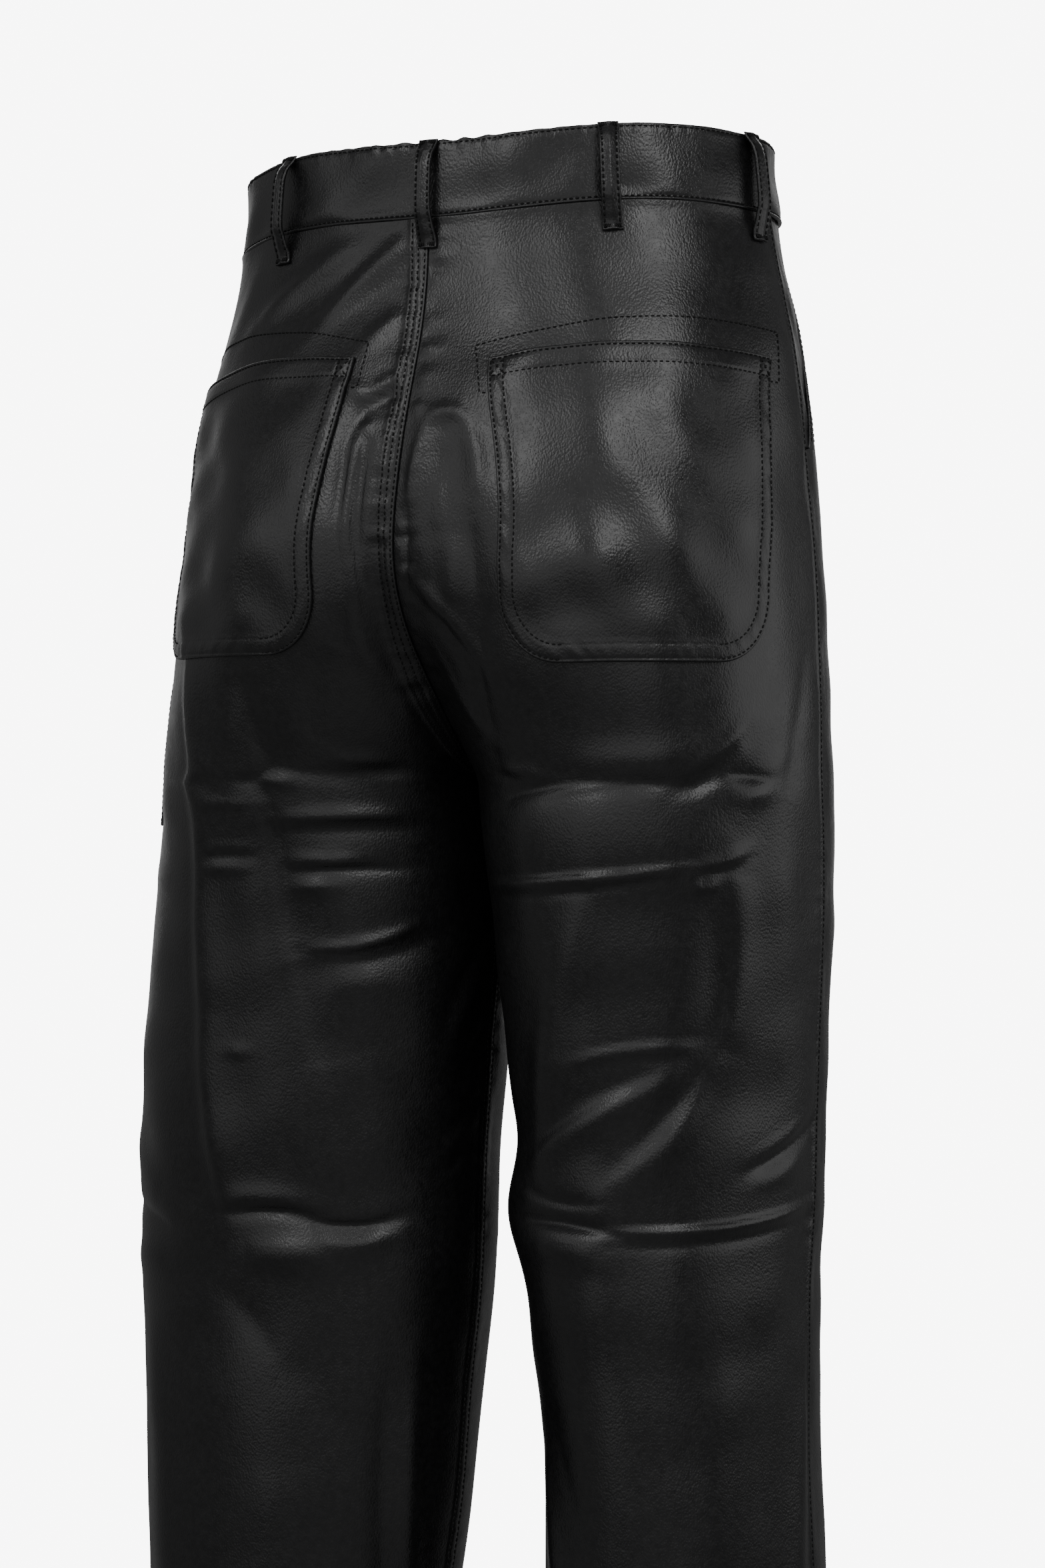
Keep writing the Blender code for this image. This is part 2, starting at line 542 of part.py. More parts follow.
def add_back_pockets(material):
    """Patch pockets with rounded lower corners, the same distance each side of the seat seam."""
    drop = rounded_rows(BACK_POCKET_HEIGHT, BACK_POCKET_CORNER, POCKET_STRAIGHT_ROWS)
    inset = corner_inset(drop, BACK_POCKET_HEIGHT, BACK_POCKET_CORNER)
    half = BACK_POCKET_WIDTH / 2 - BACK_POCKET_TAPER * drop / BACK_POCKET_HEIGHT - inset
    share = np.linspace(-1.0, 1.0, POCKET_COLUMNS)
    arch = BACK_POCKET_TOP_RISE * (1 - share[None, :] ** 2) * (1 - drop / BACK_POCKET_HEIGHT)[:, None]
    low = smoothstep(-0.1, 0.6, drop / BACK_POCKET_HEIGHT)[:, None]
    for side, top_z, at_top, at_low in BACK_POCKETS:
        z = top_z - drop[:, None] + arch
        length = np.vectorize(lambda value: arc_length(side, BACK, value))(z[:, :1])
        middle = length - at_top - low * (at_low - at_top) - BACK_POCKET_WIDTH / 2
        distance = middle + share[None, :] * half[:, None]
        outer = round_points(side, BACK, distance, z, np.full(z.shape, PATCH_LIFT + PATCH_WALL))
        inner = round_points(side, BACK, distance, z, np.full(z.shape, PATCH_LIFT))
        cloth("back_pocket_" + ("left" if side == LEFT else "right"), outer, inner, material)


def add_thigh_pocket(material):
    """A plain patch pocket on the left thigh, laid over the outer seam."""
    drop = np.linspace(0.0, THIGH_POCKET_HEIGHT, THIGH_ROWS)[:, None]
    distance = np.linspace(-THIGH_POCKET_BEHIND, THIGH_POCKET_BEFORE, THIGH_COLUMNS)[None, :]
    z = THIGH_POCKET_TOP_Z - drop + np.zeros_like(distance)
    distance = distance + np.zeros_like(z)
    outer = round_points(LEFT, FRONT, distance, z, np.full(z.shape, PATCH_LIFT + THIGH_POCKET_WALL))
    inner = round_points(LEFT, FRONT, distance, z, np.full(z.shape, PATCH_LIFT))
    cloth("thigh_pocket_left", outer, inner, material)


def add_fly(material):
    """The fly's covering flap on the left front, from the waistband down to a rounded corner."""
    top = -WAISTBAND_HEIGHT / 2 - SEAM_GAP
    height = top - FLY_BOTTOM_Z
    drop = rounded_rows(height, FLY_CORNER, FLY_STRAIGHT_ROWS)
    width = FLY_WIDTH - corner_inset(drop, height, FLY_CORNER)
    z = np.repeat((top - drop)[:, None], FLY_COLUMNS, axis=1)
    length = np.vectorize(lambda value: arc_length(LEFT, FRONT, value))(z[:, :1])
    distance = length - SEAM_GAP - np.linspace(0.0, 1.0, FLY_COLUMNS)[None, :] * width[:, None]
    outer = round_points(LEFT, FRONT, distance, z, np.full(z.shape, PATCH_LIFT + PATCH_WALL))
    inner = round_points(LEFT, FRONT, distance, z, np.full(z.shape, PATCH_LIFT))
    cloth("fly", outer, inner, material)


def add_button(material):
    """The waistband's button, flat on the lapped end at the centre front."""
    along, height = np.array([1.0]), np.array([0.0])
    seat = surface(LEFT, FRONT, along - BUTTON_FROM_END, height, WAISTBAND_PROUD)[0]
    normal = outward(LEFT, FRONT, along - BUTTON_FROM_END, height)[0]
    bm = bmesh.new()
    bmesh.ops.create_cone(
        bm, cap_ends=True, segments=BUTTON_SIDES, radius1=BUTTON_RADIUS * MM,
        radius2=BUTTON_RADIUS * MM, depth=BUTTON_THICK * MM,
    )
    mesh = bpy.data.meshes.new("waist_button")
    bm.to_mesh(mesh)
    bm.free()
    obj = add_object("waist_button", mesh, material)
    obj.location = Vector(seat + normal * (BUTTON_THICK / 2 + SEAM_GAP)) * MM
    obj.rotation_euler = Vector(normal).to_track_quat("Z", "Y").to_euler()
    rim = obj.modifiers.new("rim", "BEVEL")
    rim.width = BUTTON_RIM * MM
    rim.segments = 2
    rim.limit_method = "ANGLE"


def main():
    clear_scene()
    collection = bpy.data.collections.new(COLLECTION)
    bpy.context.scene.collection.children.link(collection)
    leather = make_material("black_faux_leather", (0.012, 0.012, 0.013), 0.38)
    metal = make_material("dark_metal", (0.10, 0.10, 0.10), 0.35, 1.0)
    add_panels(leather)
    add_facings(leather)
    add_waistband(leather)
    add_loops(leather)
    add_back_pockets(leather)
    add_thigh_pocket(leather)
    add_fly(leather)
    add_button(metal)


main()
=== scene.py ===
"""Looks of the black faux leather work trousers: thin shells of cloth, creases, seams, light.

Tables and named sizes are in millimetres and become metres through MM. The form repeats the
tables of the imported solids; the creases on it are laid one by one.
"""
import math

import bpy
import numpy as np
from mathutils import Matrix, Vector


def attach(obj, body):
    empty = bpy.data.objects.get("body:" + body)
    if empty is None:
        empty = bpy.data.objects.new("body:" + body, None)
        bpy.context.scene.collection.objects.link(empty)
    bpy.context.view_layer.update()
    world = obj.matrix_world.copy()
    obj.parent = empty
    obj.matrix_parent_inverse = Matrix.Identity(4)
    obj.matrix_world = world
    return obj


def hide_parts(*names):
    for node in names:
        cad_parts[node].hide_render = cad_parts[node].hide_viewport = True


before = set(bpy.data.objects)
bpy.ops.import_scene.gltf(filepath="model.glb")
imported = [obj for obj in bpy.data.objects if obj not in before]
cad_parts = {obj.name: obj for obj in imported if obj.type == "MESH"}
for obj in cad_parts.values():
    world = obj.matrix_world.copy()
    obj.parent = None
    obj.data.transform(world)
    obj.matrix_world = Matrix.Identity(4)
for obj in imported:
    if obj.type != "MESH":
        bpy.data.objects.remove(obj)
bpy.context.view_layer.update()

MM = 0.001
LEFT, RIGHT = 1, -1
BACK, FRONT = 1, -1
WORDS = {LEFT: "left", RIGHT: "right"}
SEED = 11

# ---- the garment's sizes, as in its solids ----
WALL = 1.5
SEAM_GAP = 0.3
SEAM_CLOSE = 0.06  # the centre seams' edges overlap by twice this, so that no light shows
WAISTBAND_HEIGHT = 42.0
WAISTBAND_WALL = 3.0
WAISTBAND_PROUD = 0.9
BAND_UNDERLAP = 36.0
BAND_OVERLAP = 8.0
BAND_STEP_START, BAND_STEP_END = 14.0, 44.0
LOOP_WIDTH = 12.0
LOOP_WALL = 2.0
LOOP_TACK = 0.6
LOOP_BOW = 6.8
LOOP_PROFILE = (  # height, share of the bow
    (-37.5, 0.00), (-33.5, 0.00), (-28.5, 0.38), (-21.5, 0.79), (-14.0, 0.97),
    (-4.0, 1.00), (6.0, 0.97), (13.5, 0.70), (18.0, 0.20), (21.5, 0.00),
)
PATCH_LIFT = 1.0
PATCH_WALL = 1.3
BACK_POCKET_WIDTH = 163.0
BACK_POCKET_HEIGHT = 155.5
BACK_POCKET_TOP_RISE = 3.0
BACK_POCKET_CORNER = 34.0
BACK_POCKET_CORNER_DROP = BACK_POCKET_HEIGHT - BACK_POCKET_CORNER  # its centre, below the top
BACK_POCKET_TAPER = 5.0
# Columns: side, z of the top, distance from the seat seam at the top and low down.
BACK_POCKETS = ((LEFT, -96.5, 36.0, 42.0), (RIGHT, -102.5, 43.0, 65.0))
THIGH_POCKET_BEHIND = 24.0  # of its width, behind the outer seam
THIGH_POCKET_WIDTH = 116.0
THIGH_POCKET_TOP_Z = -199.0
THIGH_POCKET_HEIGHT = 146.0
THIGH_POCKET_WALL = 1.8
MOUTH_TOP_FROM_SEAM = 52.0
MOUTH_BOTTOM_FROM_SEAM = 5.0
MOUTH_BOTTOM_Z = -146.0
FACING_DROP = 1.1
FLY_WIDTH = 40.0
FLY_TOP_Z = -WAISTBAND_HEIGHT / 2 - SEAM_GAP
FLY_BOTTOM_Z = -190.0
FLY_HEIGHT = FLY_TOP_Z - FLY_BOTTOM_Z
FLY_ROWS = (2.0, 7.0)  # lines of stitches, from the edge
FLY_CORNER = 26.0
BUTTON_FROM_END = 0.06
CROTCH_Z = -318.0
HEM_Z = -1030.0
TILT_SIDEWAYS = -0.055
TILT_BACK = 0.060
TILT_FULL_Z = -70.0
TILT_NONE_Z = -300.0
SAG = 2.0
SAG_X = -12.0
SAG_SPAN = 105.0
SAG_DEPTH = 60.0
FRONT_POWER = 0.95

TRUNK_COLUMNS = (
    "z", "middle", "reach_left", "reach_right", "centre_share", "back", "front", "seat",
    "hip_left", "hip_right",
)
TRUNK = (
    (22, 0, 153.5, 151.5, 0.00, 101, 98, 1.00, 1.00, 1.00),
    (-22, 0, 158, 156, 0.00, 103, 100, 1.00, 1.00, 1.00),
    (-60, -1, 166.5, 162.5, 0.06, 108, 98, 0.90, 1.00, 0.95),
    (-85, -1, 174.5, 168, 0.12, 115, 95, 0.80, 1.05, 0.92),
    (-111, 1, 181.5, 174.5, 0.20, 123, 92, 0.72, 1.15, 0.90),
    (-155, 5, 182.8, 182.8, 0.33, 134, 88, 0.66, 1.35, 0.90),
    (-203, 9, 186.2, 192, 0.47, 139, 85, 0.64, 1.50, 0.90),
    (-236, 9, 190.5, 193.8, 0.59, 135, 84, 0.66, 1.50, 0.90),
    (-264, 8, 194.4, 194, 0.71, 127, 84, 0.74, 1.45, 0.90),
    (-298, 6.5, 200.6, 193, 0.90, 117, 86, 0.88, 1.35, 0.92),
    (-318, 5.5, 201, 192, 1.00, 111, 87, 0.96, 1.30, 0.96),
)
LEG_COLUMNS = ("z", "inner", "outer", "back", "front", "seam_y", "seat", "hip")
LEFT_LEG = (
    (-318, 5.5, 206.5, 111, 87, 0, 0.96, 1.30),
    (-355, 6, 211.3, 102, 90, 0, 1.00, 1.25),
    (-412, 7.5, 217.8, 94, 92, 0, 1.00, 1.20),
    (-488, 11.5, 224, 88, 90, 0, 1.00, 1.12),
    (-528, 14.5, 225, 84, 88, 0, 1.00, 1.06),
    (-590, 16.5, 223.5, 80, 86, 0, 1.00, 1.00),
    (-664, 23.5, 220.5, 78, 80, 2, 1.00, 1.00),
    (-708, 26, 218.5, 77, 76, 4, 1.00, 1.00),
    (-770, 34, 215.5, 75, 70, 6, 1.00, 1.00),
    (-900, 46, 212, 73, 68, 10, 1.00, 1.00),
    (-1030, 53, 209, 72, 68, 14, 1.00, 1.00),
)
RIGHT_LEG = (
    (-318, -5.5, 186.5, 111, 87, 0, 0.96, 0.96),
    (-345, -5, 184.5, 122, 84, -8, 1.00, 1.00),
    (-396, -1.5, 180.5, 124, 78, -18, 1.00, 1.00),
    (-484, 5.5, 174.5, 122, 72, -25, 1.00, 1.00),
    (-512, 12, 174, 118, 72, -24, 1.00, 1.00),
    (-533, 7, 174, 118, 72, -23, 1.00, 1.00),
    (-555, 3, 173.5, 117, 72, -22, 1.00, 1.00),
    (-587, 16, 173.5, 110, 74, -16, 1.00, 1.00),
    (-630, 22.5, 174.5, 104, 76, -12, 1.00, 1.00),
    (-682, 32, 176.5, 98, 80, -6, 1.00, 1.00),
    (-760, 33.5, 183, 90, 80, 2, 1.00, 1.00),
    (-900, 44, 184, 80, 74, 8, 1.00, 1.00),
    (-1030, 48, 185, 78, 72, 12, 1.00, 1.00),
)

# Columns: node, side, face, share of the panel's width from its outer seam, share of the bow.
LOOPS = (
    ("belt_loop_centre_back", LEFT, BACK, 1.00, 1.0),
    ("belt_loop_back_left", LEFT, BACK, 0.52, 1.0),
    ("belt_loop_back_right", RIGHT, BACK, 0.51, 1.0),
    ("belt_loop_side_left", LEFT, FRONT, 0.02, 0.85),
    ("belt_loop_side_right", RIGHT, BACK, 0.08, 0.80),
    ("belt_loop_front_left", LEFT, FRONT, 0.58, 1.0),
    ("belt_loop_front_right", RIGHT, FRONT, 0.58, 1.0),
)

# ---- creases ----
# A crease runs from a to b: share of the panel's width from its outer seam, and height. Its
# middle bends sideways by bend. above and below are its half widths on its two sides: above
# is the upper side of one that runs inwards, the inner side of one that runs down.
# Columns: share_a, z_a, share_b, z_b, bend, above, below, height.
BACK_LEFT_CREASES = (
    # folds from the centre loop down to the pocket
    (0.800, -32, 0.470, -72, 3, 9, 8, 2.8),
    (0.950, -30, 0.700, -78, 2, 7, 9, 3.4),
    (0.960, -70, 0.850, -92, 2, 6, 7, 1.9),
    (0.400, -34, 0.300, -84, 0, 14, 12, 1.5),
    # the hook fold at the pocket's corner and the arch under it
    (0.975, -104, 0.890, -117, -2, 5, 4, 2.4),
    (0.895, -118, 0.840, -113, 2, 3, 3, 1.5),
    (0.980, -112, 0.905, -122, -1, 4, 6, -2.2),
    (0.905, -120, 0.870, -142, 1, 5, 5, -1.8),
    (0.870, -138, 0.884, -188, 0, 5, 4, -2.2),
    (0.897, -134, 0.922, -137, 2, 3, 3, 1.3),
    (0.898, -136, 0.914, -215, -2, 3, 3.5, 2.4),
    (0.914, -145, 0.930, -222, 0, 3.5, 3.5, -2.8),
    (0.936, -150, 0.950, -215, 0, 4, 4, 1.6),
    (0.945, -136, 0.958, -160, 0, 4, 4, 1.2),
    # between the seat seam and the pocket
    (0.962, -180, 0.950, -262, 3, 7, 7, -3.2),
    (0.918, -200, 0.905, -262, -2, 6, 6, 1.8),
    (0.905, -252, 0.935, -292, 3, 7, 6, 1.4),
    (0.860, -250, 0.700, -300, 6, 12, 12, -2.5),
    # the side facet's ridge
    (0.440, -248, 0.372, -345, 2, 14, 6, 3.2),
    (0.372, -332, 0.395, -450, -2, 14, 5, 3.6),
    (0.392, -436, 0.450, -560, -2, 13, 6, 3.2),
    (0.383, -331, 0.490, -332, 0, 3.5, 3, 0.9),
    (0.395, -357, 0.490, -356, 1, 3, 3, 0.7),
    (0.395, -361, 0.490, -361, 1, 2.5, 3, -0.9),
    (0.400, -368, 0.480, -367, 0, 4, 3, 1.3),
    # the long valley down the thigh, and the light band beside it
    (0.617, -258, 0.525, -344, 4, 13, 9, -4.0),
    (0.525, -330, 0.588, -420, -3, 12, 8, -3.8),
    (0.580, -406, 0.640, -480, 0, 11, 8, -2.6),
    (0.620, -350, 0.720, -470, 0, 12, 12, 1.6),
    # creases under the seat
    (0.700, -308, 0.815, -309, 0, 4, 3, 1.2),
    (0.590, -314, 0.840, -314, -2, 5, 7, -2.2),
    (0.545, -319, 0.600, -320, 0, 4, 4, 1.2),
    (0.545, -341, 0.770, -339, 1, 5.5, 2.0, 2.4),
    (0.560, -347, 0.820, -345, 0, 3, 7, -2.0),
    (0.571, -363, 0.690, -363, 0, 4, 2.6, 1.4),
    (0.575, -369, 0.780, -367, 1, 2.2, 5, -2.4),
    (0.580, -378, 0.640, -377, 0, 4, 4, 1.6),
    (0.615, -412, 0.800, -399, -3, 4.5, 1.8, 2.3),
    (0.640, -419, 0.830, -405, -3, 3, 8, -1.8),
    (0.640, -434, 0.760, -430, 2, 8, 6, 0.8),
    # fine pulls at the inner seam
    (0.850, -460, 0.960, -400, 4, 3, 4, -1.5),
    (0.875, -470, 0.975, -415, 4, 4, 3, 1.2),
    (0.900, -492, 0.975, -454, 3, 3, 3, -1.4),
    (0.895, -514, 0.960, -496, 2, 3, 3, -1.3),
    (0.885, -524, 0.955, -506, 2, 4, 3, 1.2),
    (0.880, -536, 0.960, -524, 2, 4, 3, -1.0),
    # behind the knee
    (0.450, -469, 0.490, -468, 0, 4, 3, 1.2),
    (0.440, -551, 0.620, -551, 2, 7, 4, 1.6),
    (0.455, -558, 0.625, -558, 2, 2.6, 6, -3.0),
    (0.610, -560, 0.800, -557, -5, 2.6, 7, -3.4),
    (0.640, -574, 0.770, -569, -3, 8, 6, 2.4),
    (0.480, -581, 0.660, -583, 3, 8, 9, 2.4),
    (0.420, -598, 0.560, -640, 4, 10, 12, -1.8),
    (0.840, -640, 0.880, -780, -3, 7, 7, 2.2),
    (0.780, -640, 0.820, -800, -3, 10, 8, -1.8),
    # the outer side, hidden in the photograph
    (0.040, -520, 0.260, -552, 4, 10, 12, 1.6),
    (0.060, -556, 0.300, -570, 3, 5, 8, -2.2),
    (0.080, -590, 0.280, -585, 2, 10, 8, 1.8),
    (0.050, -340, 0.300, -352, 4, 8, 10, -0.8),
    (0.060, -372, 0.280, -380, 3, 9, 7, 0.7),
    (0.200, -610, 0.260, -800, 5, 14, 14, 2.4),
    (0.550, -690, 0.500, -880, 5, 14, 12, 1.2),
    (0.120, -900, 0.520, -930, 6, 12, 9, 2.0),
    (0.500, -946, 0.860, -916, 5, 10, 12, 2.2),
    (0.180, -974, 0.600, -962, -5, 9, 11, -2.0),
)
BACK_RIGHT_CREASES = (
    # arches between the seat seam and the pocket
    (0.965, -176, 0.940, -132, 2, 3.5, 4, 1.6),
    (0.945, -133, 0.845, -133, 5, 4, 4, 2.0),
    (0.858, -131, 0.808, -176, -4, 7, 5, 2.1),
    (0.905, -142, 0.905, -200, 0, 8, 9, -1.6),
    (0.898, -162, 0.896, -190, 0, 4, 4, 1.5),
    (0.818, -186, 0.812, -240, 0, 7, 7, -2.2),
    (0.862, -190, 0.858, -232, 0, 6, 5, 1.5),
    (0.968, -178, 0.972, -218, 0, 4, 5, -1.8),
    (0.912, -214, 0.912, -238, 0, 8, 8, 1.6),
    (0.962, -220, 0.800, -272, 3, 6, 3.5, -2.2),
    (0.950, -214, 0.790, -264, 3, 3, 8, 2.2),
    (0.945, -248, 0.745, -300, -5, 3.5, 4, 1.4),
    (0.775, -222, 0.745, -304, 8, 14, 7, -3.0),
    # under the seat
    (0.710, -313, 0.600, -315, 0, 4, 4, 1.6),
    (0.560, -325, 0.400, -319, 1, 6, 3, 1.8),
    (0.680, -330, 0.310, -323, 6, 7, 5, -3.6),
    (0.335, -326, 0.255, -298, -4, 6, 5, -3.8),
    (0.330, -316, 0.250, -288, -4, 4, 5, 1.8),
    (0.262, -317, 0.160, -318, 0, 6, 3, -2.4),
    (0.255, -327, 0.160, -326, 0, 6, 6, 1.4),
    (0.560, -308, 0.300, -304, -3, 10, 9, 2.2),
    # the long crease across the thigh, and its hook
    (0.715, -375, 0.320, -364.5, -2, 2.2, 8, 3.3),
    (0.700, -382, 0.335, -371, -2, 8, 3.5, -2.2),
    (0.312, -366, 0.305, -378, 2, 3, 3, 1.4),
    (0.305, -377, 0.270, -371, -2, 3, 3, 1.4),
    (0.298, -364, 0.210, -355, -2, 3, 4, 1.6),
    (0.285, -369, 0.215, -361, -2, 4, 2.5, -1.4),
    # the long ridge down the outside of the thigh
    (0.238, -366, 0.262, -468, -6, 6, 13, 2.8),
    (0.285, -380, 0.305, -472, -5, 9, 8, -1.2),
    (0.262, -456, 0.470, -539, -10, 6, 12, 2.6),
    (0.310, -466, 0.450, -520, -6, 8, 8, -2.0),
    (0.490, -378, 0.572, -462, 2, 13, 13, 2.6),
    (0.565, -450, 0.640, -528, 2, 11, 11, 2.2),
    (0.520, -469, 0.310, -461, 3, 2.4, 9, 2.4),
    (0.510, -475, 0.330, -467, 3, 8, 3, -1.6),
    (0.655, -531, 0.312, -470, 4, 6, 10, 3.6),
    (0.640, -519, 0.350, -474, 4, 9, 6, -1.8),
    # behind the knee
    (0.655, -538, 0.480, -545, -3, 5, 3.5, -2.4),
    (0.660, -556, 0.450, -561, 2, 7, 3, -4.4),
    (0.640, -571, 0.480, -574, 2, 9, 8, 2.4),
    (0.460, -559, 0.020, -547.5, -4, 2.0, 6, 2.7),
    (0.450, -567, 0.040, -555, -4, 8, 3.5, -1.5),
    (0.205, -529, 0.030, -507, -2, 5, 3.5, -2.6),
    (0.200, -522, 0.040, -500, -2, 4, 5, 1.2),
    (0.190, -537, 0.050, -520, -2, 6, 6, 1.4),
    # the lower leg
    (0.765, -672, 0.610, -860, -4, 10, 10, 3.0),
    (0.700, -640, 0.600, -720, 0, 12, 12, -1.6),
    (0.012, -636, 0.120, -900, 5, 10, 10, 2.8),
    (0.260, -600, 0.300, -760, 0, 14, 16, 1.6),
    (0.860, -900, 0.460, -930, 6, 9, 12, 2.2),
    (0.480, -944, 0.140, -912, 5, 12, 10, 2.2),
    (0.800, -968, 0.360, -976, -5, 9, 11, -2.0),
    # along the outer seam, by the pocket
    (0.060, -250, 0.120, -330, 0, 8, 10, -1.6),
    (0.100, -300, 0.240, -345, 3, 7, 8, 1.4),
)
FRONT_LEFT_CREASES = (
    (0.920, -290, 0.460, -258, 5, 9, 13, 3.6),
    (0.920, -304, 0.560, -276, 4, 4, 8, -2.6),
    (0.930, -330, 0.500, -314, 4, 5, 11, -3.6),
    (0.910, -344, 0.560, -338, 3, 8, 5, 2.4),
    (0.900, -366, 0.540, -384, -4, 9, 6, 3.2),
    (0.880, -380, 0.600, -400, -4, 4, 9, -2.2),
    (0.900, -410, 0.700, -442, -3, 6, 7, 1.8),
    (0.160, -380, 0.360, -430, 4, 9, 10, 1.8),
    (0.180, -534, 0.800, -552, -6, 9, 5, 4.6),
    (0.240, -548, 0.780, -564, -6, 4, 9, -3.6),
    (0.260, -578, 0.840, -572, 5, 9, 6, 3.2),
    (0.320, -592, 0.780, -592, 3, 4, 8, -2.8),
    (0.300, -508, 0.620, -516, -3, 8, 6, 2.0),
    (0.420, -616, 0.520, -860, 8, 16, 16, 3.0),
    (0.720, -640, 0.640, -820, -4, 13, 13, -2.2),
    (0.180, -660, 0.240, -880, 4, 13, 13, 2.2),
    (0.120, -900, 0.560, -936, 6, 12, 8, 2.4),
    (0.480, -950, 0.900, -922, 5, 9, 11, 2.4),
    (0.240, -976, 0.700, -968, -4, 8, 10, -2.2),
    (0.760, -60, 0.520, -110, 3, 10, 12, -1.8),
    (0.860, -110, 0.600, -170, 3, 11, 12, 1.8),
    (0.900, -200, 0.560, -226, 4, 12, 11, 2.0),
    (0.940, -235, 0.620, -240, 3, 8, 9, -2.0),
)
FRONT_RIGHT_CREASES = (
    (0.920, -284, 0.430, -246, 5, 9, 13, 3.2),
    (0.920, -298, 0.540, -268, 4, 4, 8, -2.6),
    (0.930, -322, 0.480, -308, 4, 5, 11, -3.6),
    (0.900, -338, 0.520, -328, 3, 8, 5, 2.2),
    (0.880, -358, 0.460, -346, 4, 9, 6, 3.6),
    (0.880, -372, 0.540, -364, 4, 4, 9, -2.4),
    (0.880, -404, 0.660, -430, -3, 6, 7, 1.8),
    (0.120, -400, 0.340, -452, 4, 9, 10, 1.8),
    (0.180, -550, 0.780, -536, 6, 9, 5, 4.6),
    (0.200, -562, 0.720, -550, 5, 4, 9, -3.4),
    (0.220, -576, 0.720, -586, -4, 9, 6, 3.0),
    (0.300, -596, 0.700, -602, -3, 4, 8, -2.8),
    (0.340, -514, 0.660, -504, 3, 8, 6, 2.0),
    (0.540, -610, 0.460, -900, -8, 16, 16, 3.0),
    (0.260, -640, 0.300, -840, 4, 13, 13, -2.2),
    (0.780, -650, 0.740, -860, -4, 13, 13, 2.2),
    (0.880, -900, 0.420, -940, 5, 12, 8, 2.4),
    (0.500, -954, 0.100, -918, 5, 9, 11, 2.4),
    (0.760, -972, 0.300, -978, 4, 8, 10, -2.2),
    (0.820, -64, 0.560, -100, 3, 10, 12, -1.8),
    (0.880, -120, 0.640, -180, 3, 11, 12, 1.8),
    (0.900, -196, 0.540, -218, 4, 12, 11, 2.0),
    (0.940, -232, 0.600, -232, 3, 8, 9, -2.0),
)
CREASES = {
    "back_left": BACK_LEFT_CREASES, "front_left": FRONT_LEFT_CREASES,
    "back_right": BACK_RIGHT_CREASES, "front_right": FRONT_RIGHT_CREASES,
}
SEAM_CALM = 9.0  # creases die out this close to a panel's seams
CREASE_END = 0.8  # how far a crease runs past its ends, in its widths
VALLEY_ROUND, VALLEY_SPREAD = 0.35, 1.6  # valleys are sharper at the bottom than ridges on top

# The hollow between the two halves of the seat, centred on the seat seam.
HOLLOW_DEPTH, HOLLOW_WIDTH = 8.0, 34.0
HOLLOW_TOP_Z, HOLLOW_DEEP_Z, HOLLOW_LOW_Z = -205.0, -275.0, -318.0

# The inner thighs swell a little and press together below the crotch: height, swelling.
INNER_THIGH = ((-460, 0), (-425, 1.8), (-396, 2.7), (-370, 1.6), (-345, 0.45), (-322, 0))
INNER_THIGH_WIDTH = 30.0

# ---- seams ----
# lap: how far a panel's edge stands up over its neighbour's, and how wide the doubled cloth
# is; rows: its lines of stitches, from the edge. Columns: panel, edge, lap, width, rows.
SEAMS = (
    ("back_left", "centre", 1.1, 10.4, (1.5, 5.2, 8.6)),
    ("back_left", "inner", 0.8, 8.6, (1.5, 7.0)),
    ("back_right", "inner", 0.8, 8.6, (1.5, 7.0)),
    ("back_left", "outer", 0.7, 3.6, (1.6,)),
    ("back_right", "outer", 0.7, 3.6, (1.6,)),
    ("front_left", "centre", 0.9, 8.0, (1.5, 6.5)),
    ("front_left", "mouth", 0.7, 9.4, (1.5, 8.0)),
    ("front_right", "mouth", 0.7, 9.4, (1.5, 8.0)),
)
GROOVE_DEPTH, GROOVE_WIDTH = 0.42, 1.0
LAP_SOFT = (-1.2, 1.4)  # a lap slopes down between these distances from its width
EDGE_ROLL, EDGE_ROLL_DEPTH = 0.9, 0.6
PUCKER_HEIGHT, PUCKER_REACH, PUCKER_FROM_EDGE = 0.45, 8.0, 6.0
PUCKER_WAVES = (7.0, 19.0, 9)  # waves: shortest, longest, how many
LEG_PUCKER, OUTER_PUCKER = 0.4, 0.15  # shares of it at the inner and outer seams
BAND_MEET, BAND_MEET_REACH = 0.5, 3.0  # the panels rise to meet the band
RIPPLE_HEIGHT, RIPPLE_WAVES = 0.38, (34.0, 130.0, 16)
RIPPLE_LOW, RIPPLE_LOW_Z, RIPPLE_FULL_Z = 0.45, -700.0, -600.0  # share of it below the knees
HEM_TURN, HEM_ROW, HEM_LAP = 20.0, 17.5, 0.7

# ---- mesh densities ----
GRID_STEP = 2.6
GRID_COLUMNS = 161
ARC_SAMPLES = 241
TOP_POINTS = (-21.2, -22.4, -24.0, -26.0)  # heights of rows of points under the waistband
HEM_POINTS = (20.5, 19.0, 18.2, 17.5, 16.8, 15.5, 11.0, 6.0, 3.0, 1.4, 0.7, 0.3, 0.0)
EDGE_OFFSETS = (0, 0.3, 0.7, 1.1, 1.5, 2, 2.8, 3.6, 4.4, 5.2, 6, 7, 8, 8.6, 9.4, 10.2, 11.2, 13)
INSIDE_COLUMNS = {BACK: 84, FRONT: 72}
PANEL_ROWS = (  # down to this height, in steps of this
    (-120.0, 3.6), (-300.0, 2.8), (-420.0, 1.7), (-520.0, 2.6), (-575.0, 1.7),
    (-760.0, 4.0), (HEM_Z + HEM_TURN + 2.0, 8.0),
)


